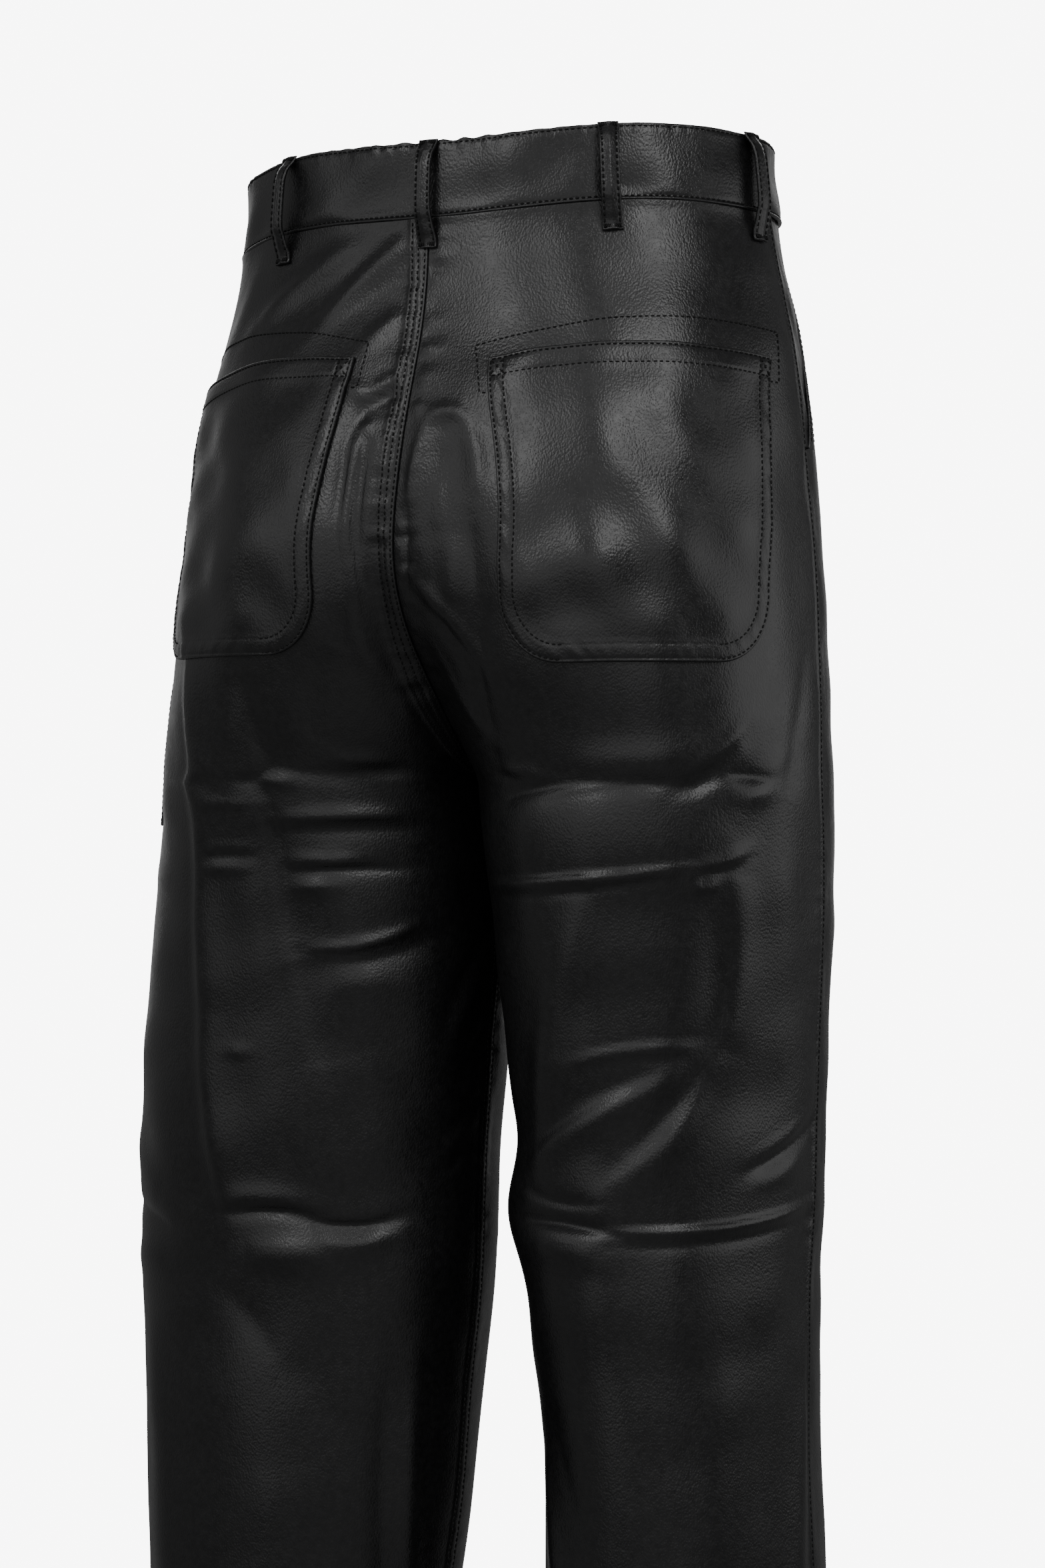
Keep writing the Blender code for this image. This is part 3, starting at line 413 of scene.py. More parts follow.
def column_curve(table, column):
    """A table's column as a smooth curve of z: cubic Hermite with limited slopes."""
    rows = np.array(table, dtype=float)[::-1]
    z, value = rows[:, 0], rows[:, column]
    step = np.diff(z)
    slope = np.diff(value) / step
    tangent = np.zeros_like(value)
    tangent[0], tangent[-1] = slope[0], slope[-1]
    for i in range(1, len(value) - 1):
        if slope[i - 1] * slope[i] > 0:
            before, after = 2 * step[i] + step[i - 1], step[i] + 2 * step[i - 1]
            tangent[i] = (before + after) / (before / slope[i - 1] + after / slope[i])

    def at(where):
        where = np.clip(where, z[0], z[-1])
        i = np.clip(np.searchsorted(z, where) - 1, 0, len(step) - 1)
        t = (where - z[i]) / step[i]
        return (
            value[i] * (1 + 2 * t) * (1 - t) ** 2
            + step[i] * tangent[i] * t * (1 - t) ** 2
            + value[i + 1] * t**2 * (3 - 2 * t)
            + step[i] * tangent[i + 1] * t**2 * (t - 1)
        )

    return at


def curves_of(table, columns):
    return {name: column_curve(table, i) for i, name in enumerate(columns) if i}


TRUNK_AT = curves_of(TRUNK, TRUNK_COLUMNS)
LEG_AT = {LEFT: curves_of(LEFT_LEG, LEG_COLUMNS), RIGHT: curves_of(RIGHT_LEG, LEG_COLUMNS)}


def smoothstep(low, high, value):
    t = np.clip((value - low) / (high - low), 0.0, 1.0)
    return t * t * (3 - 2 * t)


def bell(value, width):
    return np.exp(-((value / width) ** 2))


def rolled(away, width):
    """How far an edge rolls over: 1 at the edge, 0 from this width on."""
    return np.clip(1 - away / width, 0.0, 1.0) ** 2


def furrows(away, rows):
    """The depth that lines of stitches pull in beside an edge."""
    return GROOVE_DEPTH * sum(bell(away - row, GROOVE_WIDTH) for row in rows)


def section(side, face, z):
    """The half oval of one side at height z: middle plane, centre, half sizes, end angle."""
    trunk = z > CROTCH_Z
    reach, hip = TRUNK_AT["reach_" + WORDS[side]](z), TRUNK_AT["hip_" + WORDS[side]](z)
    share = np.clip(TRUNK_AT["centre_share"](z), 0.0, 1.0)
    leg = LEG_AT[side]
    depth = "back" if face == BACK else "front"
    inner, outer = leg["inner"](z), leg["outer"](z)
    half = np.where(trunk, reach / (1 + share), (outer - inner) / 2)
    centre = np.where(trunk, share * half, (outer + inner) / 2)
    seat = np.where(trunk, TRUNK_AT["seat"](z), leg["seat"](z))
    hip = np.where(trunk, hip, leg["hip"](z))
    return {
        "middle": np.where(trunk, TRUNK_AT["middle"](z), 0.0),
        "centre": centre - SEAM_CLOSE,
        "half": half,
        "depth": np.where(trunk, TRUNK_AT[depth](z), leg[depth](z)),
        "seam_y": np.where(trunk, 0.0, leg["seam_y"](z)),
        "inner_power": seat if face == BACK else np.full_like(seat, FRONT_POWER),
        "outer_power": hip if face == BACK else np.full_like(hip, FRONT_POWER),
        "end": np.where(trunk, np.arccos(-share), math.pi),
    }


def tilt(points):
    """Leans the waist sideways and forward, less and less towards the crotch."""
    x, y, z = points[..., 0], points[..., 1], points[..., 2]
    held = smoothstep(TILT_NONE_Z, TILT_FULL_Z, z)
    sag = SAG * np.cos(math.pi * (x - SAG_X) / SAG_SPAN) * smoothstep(0.0, SAG_DEPTH, y)
    return np.stack([x, y, z + held * (TILT_SIDEWAYS * x + TILT_BACK * y - sag)], axis=-1)


def section_rows(side, face, z):
    """Points of a side's back or front: a row per height, even steps across from the outer seam."""
    cut = section(side, face, z)
    angle = np.linspace(0.0, 1.0, ARC_SAMPLES) * cut["end"][:, None]
    x = cut["centre"][:, None] + cut["half"][:, None] * np.cos(angle)
    power = np.where(angle < math.pi / 2, cut["outer_power"][:, None], cut["inner_power"][:, None])
    rise = np.clip(np.sin(angle), 0.0, 1.0) ** power
    y = cut["seam_y"][:, None] + face * cut["depth"][:, None] * rise
    rows = []
    for px, py, height, middle in zip(x, y, z, cut["middle"]):
        arc = np.concatenate([[0.0], np.cumsum(np.hypot(np.diff(px), np.diff(py)))])
        wanted = np.linspace(0.0, arc[-1], GRID_COLUMNS)
        rows.append(np.stack([
            middle + side * np.interp(wanted, arc, px), np.interp(wanted, arc, py),
            np.full(GRID_COLUMNS, height),
        ], axis=-1))
    return tilt(np.array(rows))


def padded(grid):
    """A grid with one more row and column on each border, carried on in a straight line."""
    grid = np.concatenate([2 * grid[:1] - grid[1:2], grid, 2 * grid[-1:] - grid[-2:-1]], axis=0)
    first, last = 2 * grid[:, :1] - grid[:, 1:2], 2 * grid[:, -1:] - grid[:, -2:-1]
    return np.concatenate([first, grid, last], axis=1)


def blurred(grid, sigma, axis=0):
    """A grid smoothed along one axis by a bell curve, its ends carried on in a straight line."""
    grid = np.moveaxis(grid, axis, 0)
    reach = int(math.ceil(3 * sigma))
    before = 2 * grid[:1] - grid[reach:0:-1]
    after = 2 * grid[-1:] - grid[-2:-reach - 2:-1]
    long = np.concatenate([before, grid, after])
    weight = np.exp(-0.5 * (np.arange(-reach, reach + 1) / sigma) ** 2)
    weight /= weight.sum()
    out = sum(w * long[i:i + len(grid)] for i, w in enumerate(weight))
    return np.moveaxis(out, 0, axis)


def unit(vectors):
    return vectors / np.linalg.norm(vectors, axis=-1, keepdims=True)


GRID_Z = np.arange(26.0, HEM_Z - 6.0, -GRID_STEP)
Z_BLUR, ACROSS_BLUR = 11.0, 2.5
CROTCH_SHARP, CROTCH_SOFT = 35.0, 80.0  # this close to the crotch the form isn't smoothed
NORMAL_REACH = 9.0  # panels share their normals this close to a seam
CLOTH_POINTS, CLOTH_NORMALS, CLOTH_LENGTH = {}, {}, {}


def make_base():
    """The smooth form of the four panels as grids of points, normals and widths."""
    shares = np.linspace(0.0, 1.0, GRID_COLUMNS)[None, :]
    normals = {}
    for side in (LEFT, RIGHT):
        for face in (BACK, FRONT):
            points = section_rows(side, face, GRID_Z)
            soft = blurred(points, Z_BLUR / GRID_STEP)
            near = 1 - smoothstep(CROTCH_SHARP, CROTCH_SOFT, np.abs(GRID_Z[:, None] - CROTCH_Z))
            keep = near * smoothstep(0.85, 0.97, shares)
            points = soft + keep[..., None] * (points - soft)
            inside = smoothstep(0.0, 0.04, shares) * smoothstep(0.0, 0.04, 1 - shares)
            across = blurred(points, ACROSS_BLUR, 1)
            points = points + inside[..., None] * (across - points)
            normal = np.cross(np.gradient(points, axis=1), -np.gradient(points, axis=0))
            normals[side, face] = unit(normal * side * face)
            CLOTH_POINTS[side, face] = padded(points)
            steps = np.linalg.norm(np.diff(points, axis=1), axis=-1)
            CLOTH_LENGTH[side, face] = steps.sum(axis=1)
    for (side, face), here in normals.items():
        width = CLOTH_LENGTH[side, face][:, None]
        turned, opposite = normals[side, -face], normals[-side, face]
        trunk = (GRID_Z > CROTCH_Z)[:, None]
        outer = unit(here[:, 0] + turned[:, 0])
        inner = unit(here[:, -1] + np.where(trunk, opposite[:, -1], turned[:, -1]))
        near_outer = bell(shares * width, NORMAL_REACH)[..., None]
        near_inner = bell((1 - shares) * width, NORMAL_REACH)[..., None]
        shared = here + near_outer * (outer - here[:, 0])[:, None]
        shared = shared + near_inner * (inner - here[:, -1])[:, None]
        CLOTH_NORMALS[side, face] = padded(unit(shared))


def spline_weights(t):
    return (
        0.5 * (-t + 2 * t**2 - t**3), 0.5 * (2 - 5 * t**2 + 3 * t**3),
        0.5 * (t + 4 * t**2 - 3 * t**3), 0.5 * (-(t**2) + t**3),
    )


def looked_up(grid, share, z):
    """A smooth lookup in a padded grid."""
    row = np.clip((GRID_Z[0] - z) / GRID_STEP, 0.0, len(GRID_Z) - 1.001)
    column = np.clip(share, 0.0, 1.0) * (GRID_COLUMNS - 1)
    i = np.floor(row).astype(int)
    j = np.minimum(np.floor(column).astype(int), GRID_COLUMNS - 2)
    down, along = spline_weights(row - i), spline_weights(column - j)
    total = 0.0
    for a in range(4):
        for b in range(4):
            total = total + (down[a] * along[b])[..., None] * grid[i + a, j + b]
    return total


def width_at(side, face, z):
    return np.interp(-np.asarray(z, float), -GRID_Z, CLOTH_LENGTH[side, face])


def panel_name(side, face):
    return ("back_" if face == BACK else "front_") + WORDS[side]


def panel_of(name):
    return LEFT if name.endswith("left") else RIGHT, BACK if name.startswith("back") else FRONT


def waves(seed, shortest, longest, count, *where):
    """Seeded random waves over one or two directions, about 1 high."""
    rng = np.random.default_rng(seed)
    total = 0.0
    for _ in range(count):
        length = shortest * (longest / shortest) ** rng.random()
        turn = rng.random() * math.pi
        parts = (1.0,) if len(where) == 1 else (math.cos(turn), math.sin(turn))
        run = sum(part * value for part, value in zip(parts, where))
        total = total + np.sin(2 * math.pi * run / length + rng.random() * 2 * math.pi)
    return total * (2.0 / count) ** 0.5


def crease_height(name, mm, z):
    """Height that a panel's creases give at a distance from its outer seam and a height."""
    side, face = panel_of(name)
    total = np.zeros(np.broadcast(mm, z).shape)
    for share_a, z_a, share_b, z_b, bend, above, below, height in CREASES[name]:
        start = np.array([share_a * width_at(side, face, z_a), z_a])
        run = np.array([share_b * width_at(side, face, z_b), z_b]) - start
        length = float(np.hypot(*run))
        flip = 1.0 if (run[0] > 0 or abs(run[1]) > 2 * abs(run[0])) else -1.0
        dx, dz = mm - start[0], z - start[1]
        along = (dx * run[0] + dz * run[1]) / length**2
        inside = np.clip(along, 0.0, 1.0)
        beside = (dz * run[0] - dx * run[1]) / length
        beside = beside * flip - bend * 4 * inside * (1 - inside)
        beyond = (along - inside) * length
        size = np.where(beside > 0, above, below)
        end = np.hypot(beside / size, beyond / (CREASE_END * (above + below)))
        taper = np.sin(np.pi * np.clip(inside, 0.03, 0.97)) ** 0.5
        if height > 0:
            shape = np.exp(-(end**2))
        else:
            shape = np.exp(VALLEY_ROUND - np.sqrt(VALLEY_SPREAD * end**2 + VALLEY_ROUND**2))
        total += height * taper * shape
    return total


def seam_height(name, mm, z):
    """Height of laps, grooves under stitches, rolled edges and puckers near a panel's seams."""
    side, face = panel_of(name)
    width = width_at(side, face, z)
    trunk = smoothstep(CROTCH_Z - 5, CROTCH_Z + 5, z)
    mouth = mouth_from_seam(z) if face == FRONT else np.zeros_like(z)
    gates = {
        "centre": (width - mm, trunk), "inner": (width - mm, 1 - trunk),
        "outer": (mm, np.ones_like(z)), "mouth": (mm - mouth, smoothstep(-2, 2, z - MOUTH_BOTTOM_Z)),
    }
    total = np.zeros(np.broadcast(mm, z).shape)
    for panel, edge, lap, lap_width, rows in SEAMS:
        if panel == name:
            away, gate = gates[edge]
            raised = 1 - smoothstep(*LAP_SOFT, away - lap_width)
            total += gate * (lap * raised - furrows(away, rows))
    inner_pucker = LEG_PUCKER + (1 - LEG_PUCKER) * trunk
    for away, seed, share in ((width - mm, 1, inner_pucker), (mm - mouth, 2, OUTER_PUCKER)):
        total -= EDGE_ROLL_DEPTH * rolled(away, EDGE_ROLL)
        pull = PUCKER_HEIGHT * share * waves(SEED + 31 * seed + len(name), *PUCKER_WAVES, z)
        total += pull * bell(away - PUCKER_FROM_EDGE, PUCKER_REACH) * smoothstep(0, 5, away)
    total += BAND_MEET * bell(z + WAISTBAND_HEIGHT / 2, BAND_MEET_REACH)
    hem = z - HEM_Z
    total += HEM_LAP * (1 - smoothstep(HEM_TURN - 1.5, HEM_TURN + 1.5, hem))
    return total - furrows(hem, (HEM_ROW,)) - EDGE_ROLL_DEPTH * rolled(hem, EDGE_ROLL)


def hollow_height(name, mm, z):
    """The hollow of the seat seam and the swell of the inner thighs, the same across a seam."""
    side, face = panel_of(name)
    away = width_at(side, face, z) - mm
    heights, swelling = zip(*INNER_THIGH)
    thigh = np.interp(z, heights, swelling) * bell(away, INNER_THIGH_WIDTH)
    if face == FRONT:
        return thigh
    deep = smoothstep(HOLLOW_TOP_Z, HOLLOW_DEEP_Z, z) * smoothstep(HOLLOW_LOW_Z, HOLLOW_DEEP_Z, z)
    return thigh - HOLLOW_DEPTH * deep * bell(away, HOLLOW_WIDTH)


def cloth_height(name, mm, z, seams=True):
    """Height of the finished cloth over the smooth form, in millimetres."""
    side, face = panel_of(name)
    width = width_at(side, face, z)
    edge = np.minimum(mm, width - mm)
    calm = smoothstep(0.0, SEAM_CALM, edge)
    total = crease_height(name, mm, z) * calm + hollow_height(name, mm, z)
    ripple = RIPPLE_HEIGHT * (RIPPLE_LOW + (1 - RIPPLE_LOW) * smoothstep(RIPPLE_LOW_Z, RIPPLE_FULL_Z, z))
    total += ripple * calm * waves(SEED + len(name) + side, *RIPPLE_WAVES, mm, z)
    if seams:
        total += seam_height(name, mm, z)
    return total


def place_plain(side, face, share, z, out):
    """Points and normals on the smooth form, moved out, by share of the panel's width."""
    share, z, out = np.broadcast_arrays(share, z, out)
    points = looked_up(CLOTH_POINTS[side, face], share, z)
    normals = unit(looked_up(CLOTH_NORMALS[side, face], share, z))
    return points + normals * out[..., None], normals


def place_in(side, face, mm, z, out, seams):
    """The same on the creased cloth, by distance from the outer seam."""
    lift = cloth_height(panel_name(side, face), mm, z, seams) + out
    return place_plain(side, face, mm / width_at(side, face, z), z, lift)


def carried_on(side, face, mm, z, put):
    """Points and normals by distance from the outer seam, carried on past either seam."""
    width, next_width = width_at(side, face, z), width_at(-side, face, z)
    points, normals = put(side, face, np.clip(mm, 0.0, width))
    for beyond, other_side, other_face, away in (
        (mm < 0, side, -face, np.clip(-mm, 0.0, width_at(side, -face, z))),
        (mm > width, -side, face, np.clip(next_width - (mm - width), 0.0, next_width)),
    ):
        if beyond.any():
            other, here = put(other_side, other_face, away), beyond[..., None]
            points, normals = np.where(here, other[0], points), np.where(here, other[1], normals)
    return points, normals


def place(side, face, mm, z, out=0.0, seams=True):
    mm, z, out = np.broadcast_arrays(*(np.asarray(v, float) for v in (mm, z, out)))
    return carried_on(side, face, mm, z, lambda s, f, at: place_in(s, f, at, z, out, seams))


def place_smooth(side, face, mm, z, out):
    """As place, on the smooth form without creases and seams."""
    return carried_on(
        side, face, mm, z, lambda s, f, at: place_plain(s, f, at / width_at(s, f, z), z, out)
    )


def mouth_from_seam(z):
    """How far the front pocket's mouth is from the outer seam at height z, 0 below it."""
    top = -WAISTBAND_HEIGHT / 2
    share = np.clip((z - MOUTH_BOTTOM_Z) / (top - MOUTH_BOTTOM_Z), 0.0, 1.0)
    slant = MOUTH_BOTTOM_FROM_SEAM + share * (MOUTH_TOP_FROM_SEAM - MOUTH_BOTTOM_FROM_SEAM)
    return np.where(z >= MOUTH_BOTTOM_Z, slant, 0.0)


# ---- materials ----


def node(tree, kind, **inputs):
    """A node with some of its sockets set: numbers as they are, other nodes by their output."""
    made = tree.nodes.new(kind)
    for key, value in inputs.items():
        socket = made.inputs[key.replace("_", " ")]
        if isinstance(value, bpy.types.NodeSocket):
            tree.links.new(value, socket)
        else:
            socket.default_value = value
    return made


def ramp(tree, value, low, high, at_low, at_high):
    """A value from low to high, spread out from at_low to at_high."""
    made = node(
        tree, "ShaderNodeMapRange", Value=value, From_Min=low, From_Max=high, To_Min=at_low, To_Max=at_high
    )
    return made.outputs["Result"]


def new_material(name):
    """A material, its tree and shader, and the coordinates of the object that has it."""
    material = bpy.data.materials.new(name)
    material.use_nodes = True
    tree = material.node_tree
    where = node(tree, "ShaderNodeTexCoord").outputs["Object"]
    return material, tree, tree.nodes["Principled BSDF"], where


def set_grey(tree, shader, shade):
    grey = node(tree, "ShaderNodeCombineColor", Red=shade, Green=shade, Blue=shade)
    tree.links.new(grey.outputs["Color"], shader.inputs["Base Color"])


def set_bumps(tree, shader, *layers):
    """Bumps on top of each other: the height, its strength, its depth in metres, turned over."""
    below = {}
    for height, strength, depth, turned_over in layers:
        made = node(tree, "ShaderNodeBump", Height=height, Strength=strength, Distance=depth, **below)
        made.invert = turned_over
        below = {"Normal": made.outputs["Normal"]}
    tree.links.new(below["Normal"], shader.inputs["Normal"])


def leather_material():
    """Coated black faux leather: fine pebbled grain, soft gloss that varies over the cloth."""
    material, tree, shader, where = new_material("pebbled_black_faux_leather")
    patches = node(tree, "ShaderNodeTexNoise", Vector=where, Scale=38.0, Detail=3.0, Roughness=0.6)
    mottle = node(tree, "ShaderNodeTexNoise", Vector=where, Scale=260.0, Detail=4.0, Roughness=0.65)
    pores = node(tree, "ShaderNodeTexNoise", Vector=where, Scale=1900.0, Detail=2.0, Roughness=0.5)
    drawn = node(tree, "ShaderNodeMapping", Vector=where, Scale=(1.0, 1.0, 0.7)).outputs["Vector"]
    pebbles = node(tree, "ShaderNodeTexVoronoi", Vector=drawn, Scale=1050.0, Randomness=1.0)
    pebbles.feature = "SMOOTH_F1"
    colour = node(tree, "ShaderNodeValToRGB", Fac=mottle.outputs["Fac"])
    dark, light = colour.color_ramp.elements
    dark.position, dark.color = 0.30, (0.0042, 0.0042, 0.0045, 1.0)
    light.position, light.color = 0.75, (0.0090, 0.0090, 0.0094, 1.0)
    tree.links.new(colour.outputs["Color"], shader.inputs["Base Color"])
    total = tree.nodes.new("ShaderNodeMath")
    tree.links.new(ramp(tree, patches.outputs["Fac"], 0.3, 0.7, 0.26, 0.345), total.inputs[0])
    tree.links.new(ramp(tree, mottle.outputs["Fac"], 0.3, 0.7, -0.03, 0.05), total.inputs[1])
    tree.links.new(total.outputs["Value"], shader.inputs["Roughness"])
    shader.inputs["Specular IOR Level"].default_value = 0.5
    set_bumps(
        tree, shader, (mottle.outputs["Fac"], 0.04, 0.0009, False),
        (pebbles.outputs["Distance"], 0.4, 0.0004, True), (pores.outputs["Fac"], 0.15, 0.0002, False),
    )
    return material


def backing_material():
    """The woven backing on the inside of the cloth."""
    material, tree, shader, where = new_material("woven_black_backing")
    weave = node(tree, "ShaderNodeTexWave", Vector=where, Scale=420.0, Distortion=1.5, Detail=2.0)
    weave.bands_direction = "DIAGONAL"
    set_grey(tree, shader, ramp(tree, weave.outputs["Fac"], 0.0, 1.0, 0.007, 0.017))
    shader.inputs["Roughness"].default_value = 0.92
    shader.inputs["Specular IOR Level"].default_value = 0.2
    set_bumps(tree, shader, (weave.outputs["Fac"], 0.4, 0.0003, False))
    return material


def thread_material():
    material, tree, shader, where = new_material("black_sewing_thread")
    twist = node(tree, "ShaderNodeTexWave", Vector=where, Scale=1500.0, Distortion=2.0)
    set_grey(tree, shader, ramp(tree, twist.outputs["Fac"], 0.0, 1.0, 0.003, 0.006))
    shader.inputs["Roughness"].default_value = 0.7
    shader.inputs["Specular IOR Level"].default_value = 0.2
    set_bumps(tree, shader, (twist.outputs["Fac"], 0.3, 0.0002, False))
    return material


def metal_material():
    material, tree, shader, where = new_material("dark_brushed_metal")
    scratches = node(tree, "ShaderNodeTexNoise", Vector=where, Scale=900.0, Detail=5.0).outputs["Fac"]
    tree.links.new(ramp(tree, scratches, 0.3, 0.7, 0.28, 0.45), shader.inputs["Roughness"])
    set_grey(tree, shader, ramp(tree, scratches, 0.3, 0.7, 0.07, 0.13))
    shader.inputs["Metallic"].default_value = 1.0
    set_bumps(tree, shader, (scratches, 0.1, 0.0001, False))
    return material


# ---- meshes ----


def new_object(name, vertices, faces, materials, replaced=(), face_material=None):
    mesh = bpy.data.meshes.new(name)
    mesh.from_pydata((np.asarray(vertices) * MM).tolist(), [], faces)
    for material in materials:
        mesh.materials.append(material)
    if face_material is not None:
        mesh.polygons.foreach_set("material_index", face_material)
    mesh.shade_smooth()
    mesh.validate()
    mesh.update()
    obj = bpy.data.objects.new(name, mesh)
    bpy.context.scene.collection.objects.link(obj)
    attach(obj, "root")
    if replaced:
        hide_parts(*replaced)
    return obj


def shell_faces(rows, columns, flip):
    """Faces of a wall between an outer and an inner grid, and which of them are inside."""
    size, last = rows * columns, (rows - 1) * columns
    i, j = np.meshgrid(np.arange(rows - 1), np.arange(columns - 1), indexing="ij")
    corner = (i * columns + j).reshape(-1)
    outer = np.stack([corner, corner + columns, corner + columns + 1, corner + 1], -1)
    across, down = np.arange(columns - 1), np.arange(rows - 1) * columns
    rims = (
        (across, across + 1), (last + across + 1, last + across),
        (down + columns, down), (down + columns - 1, down + 2 * columns - 1),
    )
    rims = [np.stack([a, b, b + size, a + size], -1) for a, b in rims]
    faces = np.concatenate([outer, outer[:, ::-1] + size, *rims])
    inside = np.zeros(len(faces), dtype=int)
    inside[len(outer):2 * len(outer)] = 1
    return (faces[:, ::-1] if flip else faces).tolist(), inside


def shell(name, outer, inner, materials, replaced, flip=False):
    """A sheet of cloth as a closed wall; its inside face has the second material, if any."""
    faces, inside = shell_faces(*outer.shape[:2], flip)
    vertices = np.concatenate([outer.reshape(-1, 3), inner.reshape(-1, 3)])
    face_material = inside if len(materials) > 1 else None
    return new_object(name, vertices, faces, materials, replaced, face_material)


def turned_faces(rings, sides, flip=False):
    """Faces over rings of points between a first and a last point."""
    faces, end, last = [], 1 + (rings - 1) * sides, 1 + rings * sides
    for k in range(sides):
        n = (k + 1) % sides
        faces.append((0, 1 + k, 1 + n))
        for a in range(1, end, sides):
            faces.append((a + k, a + sides + k, a + sides + n, a + n))
        faces.append((end + k, last, end + n))
    return [face[:1] + face[:0:-1] for face in faces] if flip else faces


def spread(low, high, offsets, count):
    """Values from low to high: fixed offsets at both ends and even steps between them."""
    offsets = np.array(offsets)
    low, high = np.asarray(low, float)[..., None], np.asarray(high, float)[..., None]
    first, last = low + offsets, high - offsets[::-1]
    share = np.linspace(0, 1, count + 2)[1:-1]
    inside = first[..., -1:] + share * (last[..., :1] - first[..., -1:])
    return np.concatenate([first, inside, last], axis=-1)


def panel_heights(face):
    """Heights of a panel's rows of points, closest where folds, stitches and edges are."""
    heights = [-WAISTBAND_HEIGHT / 2 + SEAM_GAP, *TOP_POINTS]
    for down_to, step in PANEL_ROWS:
        count = max(1, round((heights[-1] - down_to) / step))
        heights += list(np.linspace(heights[-1], down_to, count + 1)[1:])
    heights += [HEM_Z + above for above in HEM_POINTS]
    if face == FRONT:
        heights += [MOUTH_BOTTOM_Z + 0.01, MOUTH_BOTTOM_Z - 1.0]
    return np.sort(heights)[::-1]


def make_panels(leather, backing):
    panels = {}
    for side in (LEFT, RIGHT):
        for face in (BACK, FRONT):
            name, z = panel_name(side, face), panel_heights(face)
            begin = mouth_from_seam(z) if face == FRONT else np.zeros_like(z)
            mm = spread(begin, width_at(side, face, z), EDGE_OFFSETS, INSIDE_COLUMNS[face])
            heights = np.broadcast_to(z[:, None], mm.shape)
            outer, normals = place_in(side, face, mm, heights, 0.0, True)
            wall = WALL + np.clip(seam_height(name, mm, heights), 0.0, None)
            inner = outer - normals * wall[..., None]
            panels[name] = shell(
                name + "_cloth", outer, inner, (leather, backing), (name,), side * face < 0
            )
    return panels


# ---- patches ----
TURNED_EDGE, TURNED_LIFT, TURNED_SOFT = 10.2, 0.6, 1.2  # cloth turned under along a patch's edge
TOP_HEM, THIGH_HEM = 12.5, 20.0
POCKET_ROWS = (1.8, 9.0)  # lines of stitches, from the edge
PATCH_ROLL = 1.1
POCKET_PUCKER = 0.35 * PUCKER_HEIGHT
POCKET_SWELL, THIGH_SWELL = 0.7, 0.5
FINE_EDGE = (0.0, 0.25, 0.6, 1.0, 1.4, 1.8, 2.3, 3.0, 4.5, 6.0, 7.4, 8.4, 9.0, 9.6, 10.4, 11.4, 13.0)


def hem_rows(hem):
    """Lines of stitches along a patch's hem, below its top edge."""
    return POCKET_ROWS[0], hem - 1.6


def patch_height(away, drop, hem):
    """Height over a plain patch: turned edges, hem, grooves under stitches, rolled edges."""
    turned = 1 - smoothstep(TURNED_EDGE - TURNED_SOFT, TURNED_EDGE + TURNED_SOFT, away)
    top = 1 - smoothstep(hem - TURNED_SOFT, hem + TURNED_SOFT, drop)
    total = TURNED_LIFT * np.maximum(turned, top)
    total = total - furrows(away, POCKET_ROWS) * smoothstep(0.0, 2.0, drop)
    total = total - furrows(drop, hem_rows(hem)) * smoothstep(0.0, 2.0, away)
    return total - PATCH_ROLL * rolled(np.minimum(away, drop), PATCH_ROLL)


def rounded_away(sideways, downwards, radius):
    """Distance to two edges and their round corner, from how far past its centre a point is."""
    slant = np.hypot(np.clip(sideways, 0, None), np.clip(downwards, 0, None))
    past = (sideways > 0) & (downwards > 0)
    return radius - np.where(past, slant, np.maximum(sideways, downwards))


def lay_patch(name, replaced, leather, spot, out, wall, highest, flip):
    """A patch on the creased cloth, out from it; its inside stays lower than highest."""
    outer, _ = place(*spot, out, False)
    inner, _ = place(*spot, np.minimum(out - wall, highest), False)
    return shell(name, outer, inner, (leather,), (replaced,), flip)


def pocket_straight(drop):
    """Half width of a back pocket at a distance below its top, were its corners square."""
    return BACK_POCKET_WIDTH / 2 - BACK_POCKET_TAPER * drop / BACK_POCKET_HEIGHT


def pocket_half(drop):
    into = np.clip(drop - BACK_POCKET_CORNER_DROP, 0.0, BACK_POCKET_CORNER)
    return pocket_straight(drop) - BACK_POCKET_CORNER + np.sqrt(BACK_POCKET_CORNER**2 - into**2)


def pocket_place(row, x, drop):
    """Distance from the outer seam and height on the panel of a point on a back pocket."""
    side, top_z, at_top, at_low = row
    share = x / pocket_half(drop)
    arch = BACK_POCKET_TOP_RISE * (1 - share**2) * (1 - drop / BACK_POCKET_HEIGHT)
    low = smoothstep(-0.1, 0.6, drop / BACK_POCKET_HEIGHT)
    from_seam = at_top + low * (at_low - at_top) + BACK_POCKET_WIDTH / 2
    return width_at(side, BACK, top_z - drop) - from_seam + x, top_z - drop + arch


def pocket_out(side, x, drop):
    """How far a back pocket's face stands out of the panel's creased surface."""
    sideways = np.abs(x) - (pocket_straight(drop) - BACK_POCKET_CORNER)
    away = rounded_away(sideways, drop - BACK_POCKET_CORNER_DROP, BACK_POCKET_CORNER)
    pull = POCKET_PUCKER * waves(SEED + 3 + side, 6.0, 15.0, 8, x + 0.7 * drop) * bell(away - 5.4, 4.0)
    swell = POCKET_SWELL * waves(SEED + 7 + side, 36.0, 100.0, 8, x, drop) * smoothstep(4, 24, away)
    return PATCH_LIFT + PATCH_WALL + patch_height(away, drop, TOP_HEM) + pull + swell


